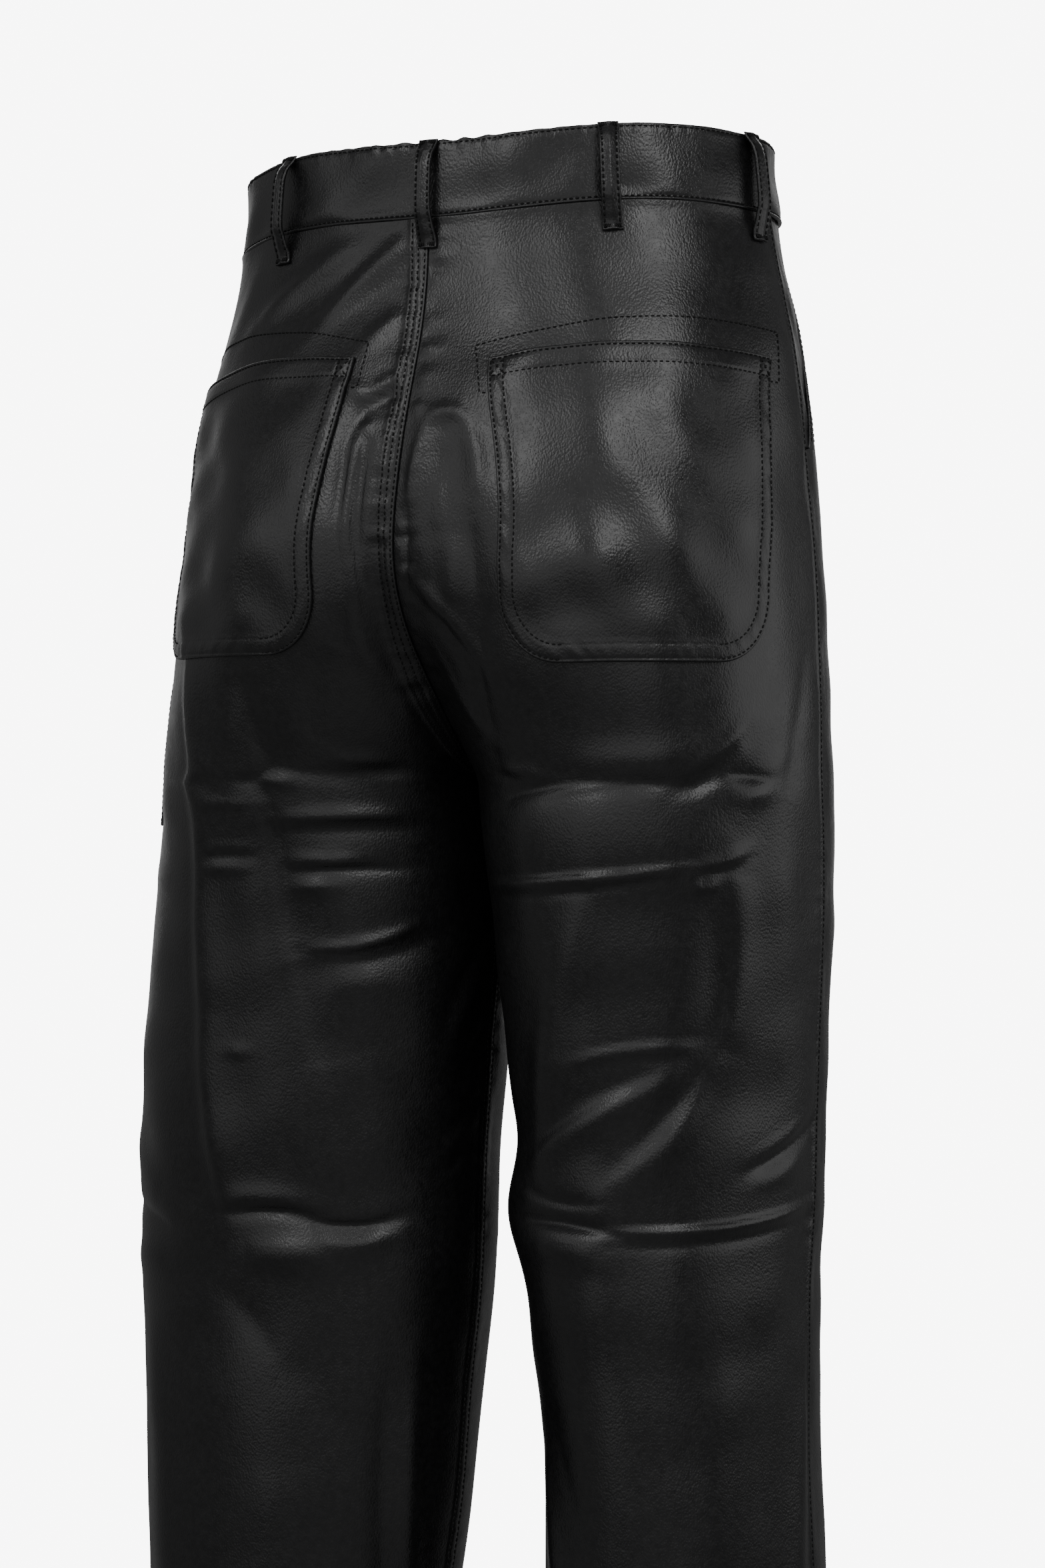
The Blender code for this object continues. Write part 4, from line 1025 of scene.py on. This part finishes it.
def make_back_pockets(leather):
    pockets = {}
    drop = spread(0.0, BACK_POCKET_HEIGHT, FINE_EDGE, 66)
    x = spread(-pocket_half(drop), pocket_half(drop), FINE_EDGE, 60)
    drops = np.broadcast_to(drop[:, None], x.shape)
    for row in BACK_POCKETS:
        side, name = row[0], "back_pocket_" + WORDS[row[0]]
        spot = (side, BACK, *pocket_place(row, x, drops))
        out = pocket_out(side, x, drops)
        pockets[name] = lay_patch(name + "_patch", name, leather, spot, out, 1.0, 0.35, side < 0)
    return pockets


def thigh_pocket_spot(x, drop):
    return LEFT, FRONT, x - THIGH_POCKET_BEHIND, THIGH_POCKET_TOP_Z - drop


def thigh_pocket_out(x, drop):
    away = np.minimum(np.minimum(x, THIGH_POCKET_WIDTH - x), THIGH_POCKET_HEIGHT - drop)
    swell = THIGH_SWELL * waves(SEED + 61, 30.0, 80.0, 8, x, drop) * smoothstep(3, 20, away)
    return PATCH_LIFT + THIGH_POCKET_WALL + patch_height(away, drop, THIGH_HEM) + swell


def make_thigh_pocket(leather):
    x, drop = np.meshgrid(
        spread(0.0, THIGH_POCKET_WIDTH, FINE_EDGE, 30), spread(0.0, THIGH_POCKET_HEIGHT, FINE_EDGE, 44)
    )
    spot, out = thigh_pocket_spot(x, drop), thigh_pocket_out(x, drop)
    return lay_patch("thigh_pocket_left_patch", "thigh_pocket_left", leather, spot, out, 1.2, 0.8, True)


def fly_spot(x, drop):
    z = FLY_TOP_Z - drop
    return LEFT, FRONT, width_at(LEFT, FRONT, z) - SEAM_GAP - x, z


def make_fly(leather):
    drop = spread(0.0, FLY_HEIGHT, FINE_EDGE, 50)
    into = np.clip(drop - (FLY_HEIGHT - FLY_CORNER), 0.0, FLY_CORNER)
    width = FLY_WIDTH - FLY_CORNER + np.sqrt(FLY_CORNER**2 - into**2)
    x = spread(np.zeros_like(width), width, FINE_EDGE[:11], 8)
    drop = np.broadcast_to(drop[:, None], x.shape)
    away = rounded_away(x - (FLY_WIDTH - FLY_CORNER), drop - (FLY_HEIGHT - FLY_CORNER), FLY_CORNER)
    away = np.minimum(away, x)
    out = PATCH_LIFT + PATCH_WALL - rolled(away, 1.0) - furrows(away, FLY_ROWS) * (x > 9)
    return lay_patch("fly_flap", "fly", leather, fly_spot(x, drop), out, 1.0, 0.5, False)


def make_facings(leather, backing):
    facings = {}
    z = np.linspace(-WAISTBAND_HEIGHT / 2 - SEAM_GAP / 2, MOUTH_BOTTOM_Z + SEAM_GAP, 60)
    mm = np.linspace(0, 1, 26)[None, :] * mouth_from_seam(z)[:, None]
    heights = np.broadcast_to(z[:, None], mm.shape)
    out = -FACING_DROP * smoothstep(0.0, 8.0, mm) + 0.2 * waves(SEED + 81, 12.0, 40.0, 7, mm, heights)
    for side, word in WORDS.items():
        outer, _ = place(side, FRONT, mm, heights, out, False)
        inner, _ = place(side, FRONT, mm, heights, out - WALL, False)
        name = "pocket_facing_" + word
        facings[name] = shell(name + "_cloth", outer, inner, (leather, backing), (name,), side > 0)
    return facings


# ---- waistband and loops ----
# Stretches of the waist from the centre front by the wearer's right: whether it runs outwards.
RING = ((RIGHT, FRONT, True), (RIGHT, BACK, False), (LEFT, BACK, True), (LEFT, FRONT, False))
BAND_ROWS = (1.9, 39.6)  # lines of stitches, below the top edge
BAND_RISE = (0.0, 0.2, 0.5, 0.9, 1.4, 1.9, 2.5, 3.3, 4.6, 6.5)
BAND_LOW = (0.0, 0.3, 0.7, 1.1, 1.5, 2.0, 2.4, 2.9, 3.6, 5.0, 7.0)
BAND_COLUMNS = 420
BAND_SWELL, BAND_ROLL, BAND_ROLL_DEPTH = 0.6, 1.4, 1.3
BAND_CRINKLE, BAND_CRINKLE_BACK = 0.12, 0.3  # height all round, and more at the centre back
BAND_RIM, BAND_RIM_WIDTH = 0.45, 0.7  # the rolled rim at its lower edge


def ring_length():
    return sum(float(width_at(side, face, 0.0)) for side, face, _ in RING)


def ring_points(distance, z, out):
    """Points round the waist: distance in mm from the centre front, by the wearer's right."""
    distance, z, out = np.broadcast_arrays(distance % ring_length(), z, out)
    points, normals = np.zeros(distance.shape + (3,)), np.zeros(distance.shape + (3,))
    begin = 0.0
    for side, face, outwards in RING:
        length = float(width_at(side, face, 0.0))
        here = (distance >= begin) & (distance < begin + length)
        share = (distance[here] - begin) / length
        share = 1 - share if outwards else share
        points[here], normals[here] = place_plain(side, face, share, z[here], out[here])
        begin += length
    return points, normals


def band_lap(distance):
    """How much lower the band's end lies under the button than the rest of it."""
    return (WAISTBAND_WALL + SEAM_GAP) * (smoothstep(BAND_STEP_START, BAND_STEP_END, distance) - 1)


def near_back(distance, reach):
    return bell(distance - ring_length() / 2, reach)


def band_out(distance, drop):
    """How far the band's face stands out of the form."""
    low = WAISTBAND_HEIGHT - SEAM_GAP / 2 - drop
    swell = BAND_SWELL * waves(SEED + 50, 38.0, 120.0, 9, distance, drop * 2.2) * smoothstep(0, 8, low)
    crinkle = BAND_CRINKLE + BAND_CRINKLE_BACK * near_back(distance, 70.0)
    crinkle = crinkle * waves(SEED + 51, 6.0, 16.0, 9, distance) * bell(drop, 5.0)
    edges = BAND_RIM * bell(low - 0.9, BAND_RIM_WIDTH) - 0.5 * rolled(low, 0.6)
    edges = edges - BAND_ROLL_DEPTH * rolled(drop, BAND_ROLL)
    return WAISTBAND_PROUD + band_lap(distance) + swell + crinkle + edges - furrows(drop, BAND_ROWS)


def make_waistband(leather):
    height = WAISTBAND_HEIGHT - SEAM_GAP / 2
    middle = np.linspace(BAND_RISE[-1], height - BAND_LOW[-1], 16)[1:-1]
    drop = np.concatenate([BAND_RISE, middle, height - np.array(BAND_LOW)[::-1]])
    distance = np.linspace(-BAND_UNDERLAP, ring_length() + BAND_OVERLAP, BAND_COLUMNS)
    distance, drop = np.meshgrid(distance, drop)
    edge = np.minimum(distance - distance.min(), distance.max() - distance)
    top = 0.35 * near_back(distance, 60.0) * waves(SEED + 52, 9.0, 24.0, 7, distance)
    z = WAISTBAND_HEIGHT / 2 - drop + top * np.exp(-drop / 6.0)
    outer, _ = ring_points(distance, z, band_out(distance, drop) - 0.8 * rolled(edge, 1.5))
    inner, _ = ring_points(distance, z, WAISTBAND_PROUD + band_lap(distance) - WAISTBAND_WALL)
    return shell("waistband_strip", outer, inner, (leather,), ("waistband",))


LOOP_STITCH, LOOP_EDGE = 1.6, (0.0, 0.3, 0.7, 1.1, 1.6, 2.1, 2.9, 3.9, 5.0)
LOOP_ENDS = (0.0, 0.3, 0.7, 1.2, 2.0, 3.0, 4.2)
LOOP_TWIST = {"belt_loop_centre_back": -1.6, "belt_loop_back_right": 0.8, "belt_loop_back_left": 0.6}
LOOP_NARROW = {"belt_loop_centre_back": 0.26}  # how much narrower it folds in its middle
OTHER_TWIST, OTHER_NARROW, LOOP_AT_ENDS = 0.5, 0.10, 0.94  # of the other loops; share of the width
LOOP_RIDGE, LOOP_GROOVE, LOOP_TACK_DENT = 0.75, 0.55, 0.7
BAR_TACKS = (-35.5, 20.0)


def loop_place(row, offset, height):
    """Distance from the outer seam, height and lift of a point on a belt loop."""
    name, side, face, from_seam, bow = row
    share = column_curve(LOOP_PROFILE[::-1], 1)(height)
    on_band = WAISTBAND_PROUD * smoothstep(-23.0, -20.0, height)
    offset = offset * (LOOP_AT_ENDS - LOOP_NARROW.get(name, OTHER_NARROW) * share)
    mm = from_seam * width_at(side, face, height) + offset
    lift = LOOP_TACK + on_band + bow * LOOP_BOW * share
    return mm, lift + LOOP_TWIST.get(name, OTHER_TWIST) * share * offset / (LOOP_WIDTH / 2)


def make_loops(leather):
    loops = {}
    height = spread(LOOP_PROFILE[0][0], LOOP_PROFILE[-1][0], LOOP_ENDS, 34)
    offset = spread(-LOOP_WIDTH / 2, LOOP_WIDTH / 2, LOOP_EDGE, 4)
    offset, height = np.meshgrid(offset, height)
    away = LOOP_WIDTH / 2 - np.abs(offset)
    end = np.minimum(height - height.min(), height.max() - height)
    shape = LOOP_RIDGE * bell(offset, 2.0) - LOOP_GROOVE * bell(away - LOOP_STITCH, 0.7)
    shape = shape - 0.9 * rolled(away, 0.8) - 0.5 * rolled(end, 0.9)
    for tack in BAR_TACKS:
        shape = shape - LOOP_TACK_DENT * bell(height - tack, 1.3)
    for row in LOOPS:
        name, side, face, _, _ = row
        mm, lift = loop_place(row, offset, height)
        outer, _ = place_smooth(side, face, mm, height, lift + LOOP_WALL + shape)
        inner, _ = place_smooth(side, face, mm, height, lift)
        loops[name] = shell(name + "_strip", outer, inner, (leather,), (name,), side * face < 0)
    return loops


BUTTON_PROFILE = (  # radius, height
    (0.0, 1.5), (3.0, 1.45), (5.2, 1.5), (6.3, 2.0), (7.0, 2.8), (7.6, 3.0), (8.1, 2.85), (8.5, 2.3),
    (8.5, 0.7), (8.1, 0.2), (7.4, 0.0), (0.0, 0.0),
)
BUTTON_SIDES = 40


def make_button(metal):
    share, lift = np.array([1.0 - BUTTON_FROM_END]), np.array([WAISTBAND_PROUD + SEAM_GAP])
    seat, normal = (found[0] for found in place_plain(LEFT, FRONT, share, np.zeros(1), lift))
    side = unit(np.cross((0.0, 0.0, 1.0), normal))
    up = np.cross(normal, side)
    vertices = [seat + normal * BUTTON_PROFILE[0][1]]
    for radius, height in BUTTON_PROFILE[1:-1]:
        for turn in np.arange(BUTTON_SIDES) * 2 * math.pi / BUTTON_SIDES:
            vertices.append(seat + radius * (math.cos(turn) * side + math.sin(turn) * up) + height * normal)
    faces = turned_faces(len(BUTTON_PROFILE) - 2, BUTTON_SIDES)
    return new_object(
        "waist_button_cap", [*vertices, seat], faces, (metal,), ("waist_button",)
    )


# ---- stitches ----
STITCH_PITCH, STITCH_LENGTH, THREAD_RADIUS = 3.3, 2.4, 0.39
STITCH_LIFT = 0.18
STITCH_RINGS = ((-0.34, 1.0), (0.0, 1.15), (0.34, 1.0))  # share of the length, of the radius
STITCH_SIDES = 6
TACK_PITCH, TACK_LENGTH, TACK_STEP = 2.6, 2.8, 1.15


def stitch_points(length):
    """One stitch along x, its ends sunk in the cloth."""
    points = [(-0.5, 0.0, -0.9)]
    for along, size in STITCH_RINGS:
        for turn in np.arange(STITCH_SIDES) * 2 * math.pi / STITCH_SIDES:
            points.append((along, size * math.cos(turn), 0.8 * size * math.sin(turn)))
    points.append((0.5, 0.0, -0.9))
    return np.array(points) * (length, THREAD_RADIUS, THREAD_RADIUS)


def read_along(run, at, where):
    """A run of points or normals, given at some distances along it, read at others."""
    return np.stack([np.interp(where, at, run[:, i]) for i in range(3)], -1)


def sew(name, lines, thread, pitch=STITCH_PITCH, length=STITCH_LENGTH):
    """Rows of separate stitches along lines, each line a run of points with their normals."""
    stitch, stitch_faces = stitch_points(length), turned_faces(len(STITCH_RINGS), STITCH_SIDES, True)
    vertices = []
    for points, normals in lines:
        steps = np.linalg.norm(np.diff(points, axis=0), axis=1)
        at = np.concatenate([[0.0], np.cumsum(steps)])
        count = max(1, int(at[-1] / pitch))
        middles = (np.arange(count) + 0.5) * at[-1] / count
        before, after = (read_along(points, at, middles + half) for half in (-length / 2, length / 2))
        way = unit(after - before)
        side = unit(np.cross(read_along(normals, at, middles), way))
        axes = np.stack([way, side, np.cross(way, side)], axis=1)
        vertices.append((read_along(points, at, middles)[:, None] + stitch @ axes).reshape(-1, 3))
    vertices = np.concatenate(vertices)
    starts = range(0, len(vertices), len(stitch))
    faces = [tuple(start + v for v in face) for start in starts for face in stitch_faces]
    return new_object(name, vertices, faces, (thread,))


def seam_lines(panel, edge, rows):
    """Lines of stitches beside one edge of a panel."""
    side, face = panel_of(panel)
    top = -WAISTBAND_HEIGHT / 2 - 1.5
    high, low = {
        "centre": (top if face == BACK else FLY_BOTTOM_Z - 4.0, CROTCH_Z + 2.0),
        "inner": (CROTCH_Z - 3.0, HEM_Z + 1.0),
        "mouth": (top, MOUTH_BOTTOM_Z + 2.0),
        "outer": (top, HEM_Z + 1.0),
    }[edge]
    z = np.arange(high, low, -2.0)
    if edge in ("centre", "inner"):
        across = [width_at(side, face, z) - row for row in rows]
    else:
        begin = mouth_from_seam(z) if edge == "mouth" else np.zeros_like(z)
        across = [begin + row for row in rows]
    return [place(side, face, mm, z, STITCH_LIFT) for mm in across]


# The line of stitches that holds the pocket bags' reinforcement, over each back pocket: an
# arch with two short ends. Columns: side, from_seam, z at its seat-seam end, z in its middle,
# from_outer, z at its outer end, length of its ends, lean of the inner and the outer end.
REINFORCEMENT = (
    (LEFT, 30.0, -88.0, -75.5, 14.0, -80.0, 25.0, 0.35, 0.1),
    (RIGHT, 34.0, -94.0, -86.0, 20.0, -88.0, 27.0, 0.15, 0.2),
)


def reinforcement_lines(row):
    side, from_seam, z_in, z_middle, from_outer, z_out, ends, lean_in, lean_out = row
    share = np.linspace(0.0, 1.0, 90)
    bow = z_middle - (z_in + z_out) / 2
    z = z_in + share * (z_out - z_in) + bow * 4 * share * (1 - share)
    high = width_at(side, BACK, z) - from_seam
    runs = [(high + share * (from_outer - high), z)]
    for start, z_start, lean, stub in ((high[0], z_in, lean_in, -5.0), (from_outer, z_out, lean_out, 9.0)):
        fall, back = np.linspace(0.0, ends, 14), np.linspace(0.0, stub, 6)
        runs.append((start + lean * fall, z_start - fall))
        runs.append((start + lean * ends + back, np.full(6, z_start - ends)))
    return [place(side, BACK, mm, height, STITCH_LIFT) for mm, height in runs]


def edge_line(width, begin, low, radius, inset):
    """A line down a patch's side from begin to low and round its corner, inset from its edge."""
    turn = np.linspace(0.0, math.pi / 2, 30)
    drop = np.concatenate([np.linspace(begin, low, 60), low + (radius - inset) * np.sin(turn)])
    into = np.concatenate([np.full(60, inset), radius - (radius - inset) * np.cos(turn)])
    return width(drop) - into, drop


def back_pocket_lines(row):
    """A back pocket's stitches: two lines round its edge, two along its hem, corner tacks."""

    def on_pocket(x, drop):
        out = pocket_out(row[0], x, drop) + STITCH_LIFT
        return place(row[0], BACK, *pocket_place(row, x, drop), out, False)

    lines = []
    for inset in POCKET_ROWS:
        x, drop = edge_line(pocket_straight, 2.0, BACK_POCKET_CORNER_DROP, BACK_POCKET_CORNER, inset)
        lines.append(on_pocket(np.append(-x, x[::-1]), np.append(drop, drop[::-1])))
    for drop in hem_rows(TOP_HEM):
        across = np.linspace(-1.0, 1.0, 90) * (pocket_straight(drop) - 2.0)
        lines.append(on_pocket(across, np.full(90, drop)))
    share = np.linspace(0.0, 1.0, 8)
    for sign in (-1.0, 1.0):
        x = sign * (pocket_straight(6.0) - 2.0 - 7.5 * share)
        lines += [on_pocket(x, 10.6 - 8.4 * share), on_pocket(x, 2.2 + 8.4 * share)]
    return lines


def thigh_pocket_lines():
    width, height = THIGH_POCKET_WIDTH, THIGH_POCKET_HEIGHT

    def on_pocket(x, drop):
        x, drop = np.broadcast_arrays(x, drop)
        return place(*thigh_pocket_spot(x, drop), thigh_pocket_out(x, drop) + STITCH_LIFT, False)

    lines = []
    for inset in POCKET_ROWS:
        down, over = np.linspace(1.5, height - inset, 60), np.linspace(inset, width - inset, 60)
        lines += [on_pocket(inset, down), on_pocket(over, height - inset), on_pocket(width - inset, down)]
    return lines + [on_pocket(np.linspace(2.0, width - 2.0, 60), drop) for drop in hem_rows(THIGH_HEM)]


def fly_lines():
    low, out = FLY_HEIGHT - FLY_CORNER, PATCH_LIFT + PATCH_WALL - 0.1
    insets = [edge_line(lambda drop: FLY_WIDTH, 1.0, low, FLY_CORNER, inset) for inset in FLY_ROWS]
    return [place(*fly_spot(x, drop), out, False) for x, drop in insets]


def band_lines():
    """Lines along both edges of the band and down its lapped end."""

    def on_band(distance, drop):
        return ring_points(distance, WAISTBAND_HEIGHT / 2 - drop, band_out(distance, drop) + STITCH_LIFT)

    end = ring_length() + BAND_OVERLAP
    distance = np.arange(16.0, end - 1.5, 2.0)
    return [
        *(on_band(distance, np.full(distance.shape, drop)) for drop in BAND_ROWS),
        on_band(np.full(24, end - 2.0), np.linspace(2.0, WAISTBAND_HEIGHT - 3.0, 24)),
    ]


def on_loop(row, offset, height, sunk):
    mm, lift = loop_place(row, offset, height)
    return place_smooth(row[1], row[2], mm, height, lift + LOOP_WALL - sunk + STITCH_LIFT)


def loop_lines(row):
    height, edge = np.linspace(BAR_TACKS[0] + 1.0, BAR_TACKS[1] - 1.0, 60), LOOP_WIDTH / 2 - LOOP_STITCH
    return [on_loop(row, np.full(60, offset), height, 0.3) for offset in (-edge, edge)]


def tack_lines(row):
    """Nine short stitches side by side over each end of a loop."""
    slant, rise = np.array([-0.3, 0.3]), np.array([-1.3, 1.3])
    return [
        on_loop(row, k * TACK_STEP + slant, tack + rise, 0.35) for tack in BAR_TACKS for k in range(-4, 5)
    ]


def hem_lines(panel):
    side, face = panel_of(panel)
    z = HEM_Z + HEM_ROW
    mm = np.linspace(1.0, float(width_at(side, face, z)) - 1.0, 140)
    return [place(side, face, mm, np.full(140, z), STITCH_LIFT)]


def sew_everything(thread):
    """All the stitches, as lists by the node whose piece they are sewn to."""
    sewn = {panel: [] for panel in CREASES}
    for panel, edge, _, _, rows in SEAMS:
        sewn[panel].append(sew(f"{panel}_{edge}_stitches", seam_lines(panel, edge, rows), thread))
    for row in REINFORCEMENT:
        panel = panel_name(row[0], BACK)
        sewn[panel].append(sew(f"{panel}_reinforcement_stitches", reinforcement_lines(row), thread))
    for panel in CREASES:
        sewn[panel].append(sew(f"{panel}_hem_stitches", hem_lines(panel), thread))
    for row in BACK_POCKETS:
        pocket = "back_pocket_" + WORDS[row[0]]
        sewn[pocket] = [sew(pocket + "_stitches", back_pocket_lines(row), thread)]
    sewn["thigh_pocket_left"] = [sew("thigh_pocket_left_stitches", thigh_pocket_lines(), thread)]
    sewn["fly"] = [sew("fly_stitches", fly_lines(), thread)]
    sewn["waistband"] = [sew("waistband_stitches", band_lines(), thread)]
    for row in LOOPS:
        loop = row[0]
        sewn[loop] = [
            sew(loop + "_stitches", loop_lines(row), thread),
            sew(loop + "_bar_tacks", tack_lines(row), thread, TACK_PITCH, TACK_LENGTH),
        ]
    return sewn


# ---- camera, light and floor, in metres ----
CAMERA_TURN = math.radians(25.0)
CAMERA_DISTANCE, CAMERA_ASIDE, CAMERA_Z = 3.0, 0.007, -0.321
LENS, SENSOR = 124.0, 36.0
# Softboxes: turn from the camera's direction (right positive), elevation and distance from
# a point on the middle line at this height; width, height, and radiance.
SOFTBOXES = (
    ("front_left", -36, 32, 2.6, -0.35, 1.00, 1.10, 3.30),
    ("front_right", 27, 33, 2.6, -0.35, 0.95, 1.20, 4.35),
    ("front_wide", -10, 28, 2.8, -0.35, 4.0, 2.1, 0.38),
    ("front_low", -6, 0, 1.2, -0.24, 1.35, 0.58, 0.56),
    ("front_bounce", 2, -34, 1.7, -0.35, 1.7, 1.1, 0.10),
    ("left_middle", -70, 20, 2.4, -0.33, 1.0, 1.2, 0.95),
    ("side_left", -104, 8, 2.0, -0.20, 1.3, 1.0, 0.10),
    ("side_right", 79, 2, 1.05, -0.21, 1.0, 0.74, 1.05),
    ("left_low", -48, 2, 1.8, -0.45, 0.8, 0.8, 0.60),
    ("top", 0, 62, 2.4, -0.10, 1.6, 1.0, 1.20),
    ("back_left", -165, 36, 2.6, -0.35, 1.2, 1.5, 1.50),
    ("back_right", 163, 36, 2.6, -0.35, 1.2, 1.5, 1.70),
    ("back_wide", 180, 12, 2.8, -0.45, 3.0, 1.4, 0.40),
)
WHITE = (1.0, 1.0, 1.0, 1.0)
AMBIENT, BACKDROP = 0.16, 8.0
FLOOR_Z = HEM_Z * MM - 0.0006
FLOOR_RADIUS, FLOOR_SIDES = 3.0, 64
FLOOR_GLOW = 1.6
FLOOR_FADE = (0.35, 1.75)  # it fades out between these distances


def make_camera():
    """The photograph's camera; gives the directions towards it and to its right."""
    towards = Vector((-math.sin(CAMERA_TURN), math.cos(CAMERA_TURN), 0.0))
    aside = Vector((-math.cos(CAMERA_TURN), -math.sin(CAMERA_TURN), 0.0))
    data = bpy.data.cameras.new("camera")
    data.lens, data.sensor_fit, data.sensor_height, data.sensor_width = LENS, "VERTICAL", SENSOR, SENSOR
    obj = bpy.data.objects.new("camera", data)
    obj.location = towards * CAMERA_DISTANCE + aside * CAMERA_ASIDE + Vector((0, 0, CAMERA_Z))
    obj.rotation_euler = (-towards).to_track_quat("-Z", "Y").to_euler()
    bpy.context.scene.collection.objects.link(obj)
    bpy.context.scene.camera = obj
    return towards, aside


def make_softboxes(towards, aside):
    for name, turn, elevation, distance, middle, width, height, radiance in SOFTBOXES:
        turn, elevation = math.radians(turn), math.radians(elevation)
        flat = towards * math.cos(turn) + aside * math.sin(turn)
        way = flat * math.cos(elevation) + Vector((0, 0, math.sin(elevation)))
        data = bpy.data.lights.new(name, "AREA")
        data.shape, data.size, data.size_y = "RECTANGLE", width, height
        data.energy = radiance * math.pi * width * height
        light = bpy.data.objects.new(name, data)
        light.location = Vector((0, 0, middle)) + way * distance
        light.rotation_euler = (-way).to_track_quat("-Z", "Y").to_euler()
        bpy.context.scene.collection.objects.link(light)


def make_world():
    """Faint light from all round, and white where the camera sees past the floor."""
    world = bpy.data.worlds.new("studio")
    world.use_nodes = True
    bpy.context.scene.world = world
    tree = world.node_tree
    around, white = tree.nodes["Background"], tree.nodes.new("ShaderNodeBackground")
    for background, strength in ((around, AMBIENT), (white, BACKDROP)):
        background.inputs["Color"].default_value = WHITE
        background.inputs["Strength"].default_value = strength
    mix = node(tree, "ShaderNodeMixShader", Fac=node(tree, "ShaderNodeLightPath").outputs["Is Camera Ray"])
    tree.links.new(around.outputs["Background"], mix.inputs[1])
    tree.links.new(white.outputs["Background"], mix.inputs[2])
    tree.links.new(mix.outputs["Shader"], tree.nodes["World Output"].inputs["Surface"])


def make_floor():
    """A pale floor that fades into the white round it."""
    turns = [2 * math.pi * k / FLOOR_SIDES for k in range(FLOOR_SIDES)]
    mesh = bpy.data.meshes.new("floor")
    round_it = [(FLOOR_RADIUS * math.cos(turn), FLOOR_RADIUS * math.sin(turn), 0) for turn in turns]
    mesh.from_pydata(round_it, [], [range(FLOOR_SIDES)])
    floor = bpy.data.objects.new("floor", mesh)
    floor.location.z = FLOOR_Z
    floor.visible_glossy = False
    floor.visible_diffuse = False
    material, tree, shader, where = new_material("pale_floor")
    shader.inputs["Base Color"].default_value = (0.85, 0.85, 0.85, 1.0)
    shader.inputs["Roughness"].default_value = 0.9
    shader.inputs["Emission Color"].default_value = WHITE
    shader.inputs["Emission Strength"].default_value = FLOOR_GLOW
    length = tree.nodes.new("ShaderNodeVectorMath")
    length.operation = "LENGTH"
    tree.links.new(where, length.inputs[0])
    fade = ramp(tree, length.outputs["Value"], *FLOOR_FADE, 1.0, 0.0)
    fade.node.interpolation_type = "SMOOTHSTEP"
    tree.links.new(fade, shader.inputs["Alpha"])
    mesh.materials.append(material)
    bpy.context.scene.collection.objects.link(floor)


make_base()
LEATHER, BACKING = leather_material(), backing_material()
PIECES = {
    **make_panels(LEATHER, BACKING),
    **make_facings(LEATHER, BACKING),
    "waistband": make_waistband(LEATHER),
    **make_loops(LEATHER),
    **make_back_pockets(LEATHER),
    "thigh_pocket_left": make_thigh_pocket(LEATHER),
    "fly": make_fly(LEATHER),
    "waist_button": make_button(metal_material()),
}
sew_everything(thread_material())
make_softboxes(*make_camera())
make_world()
make_floor()
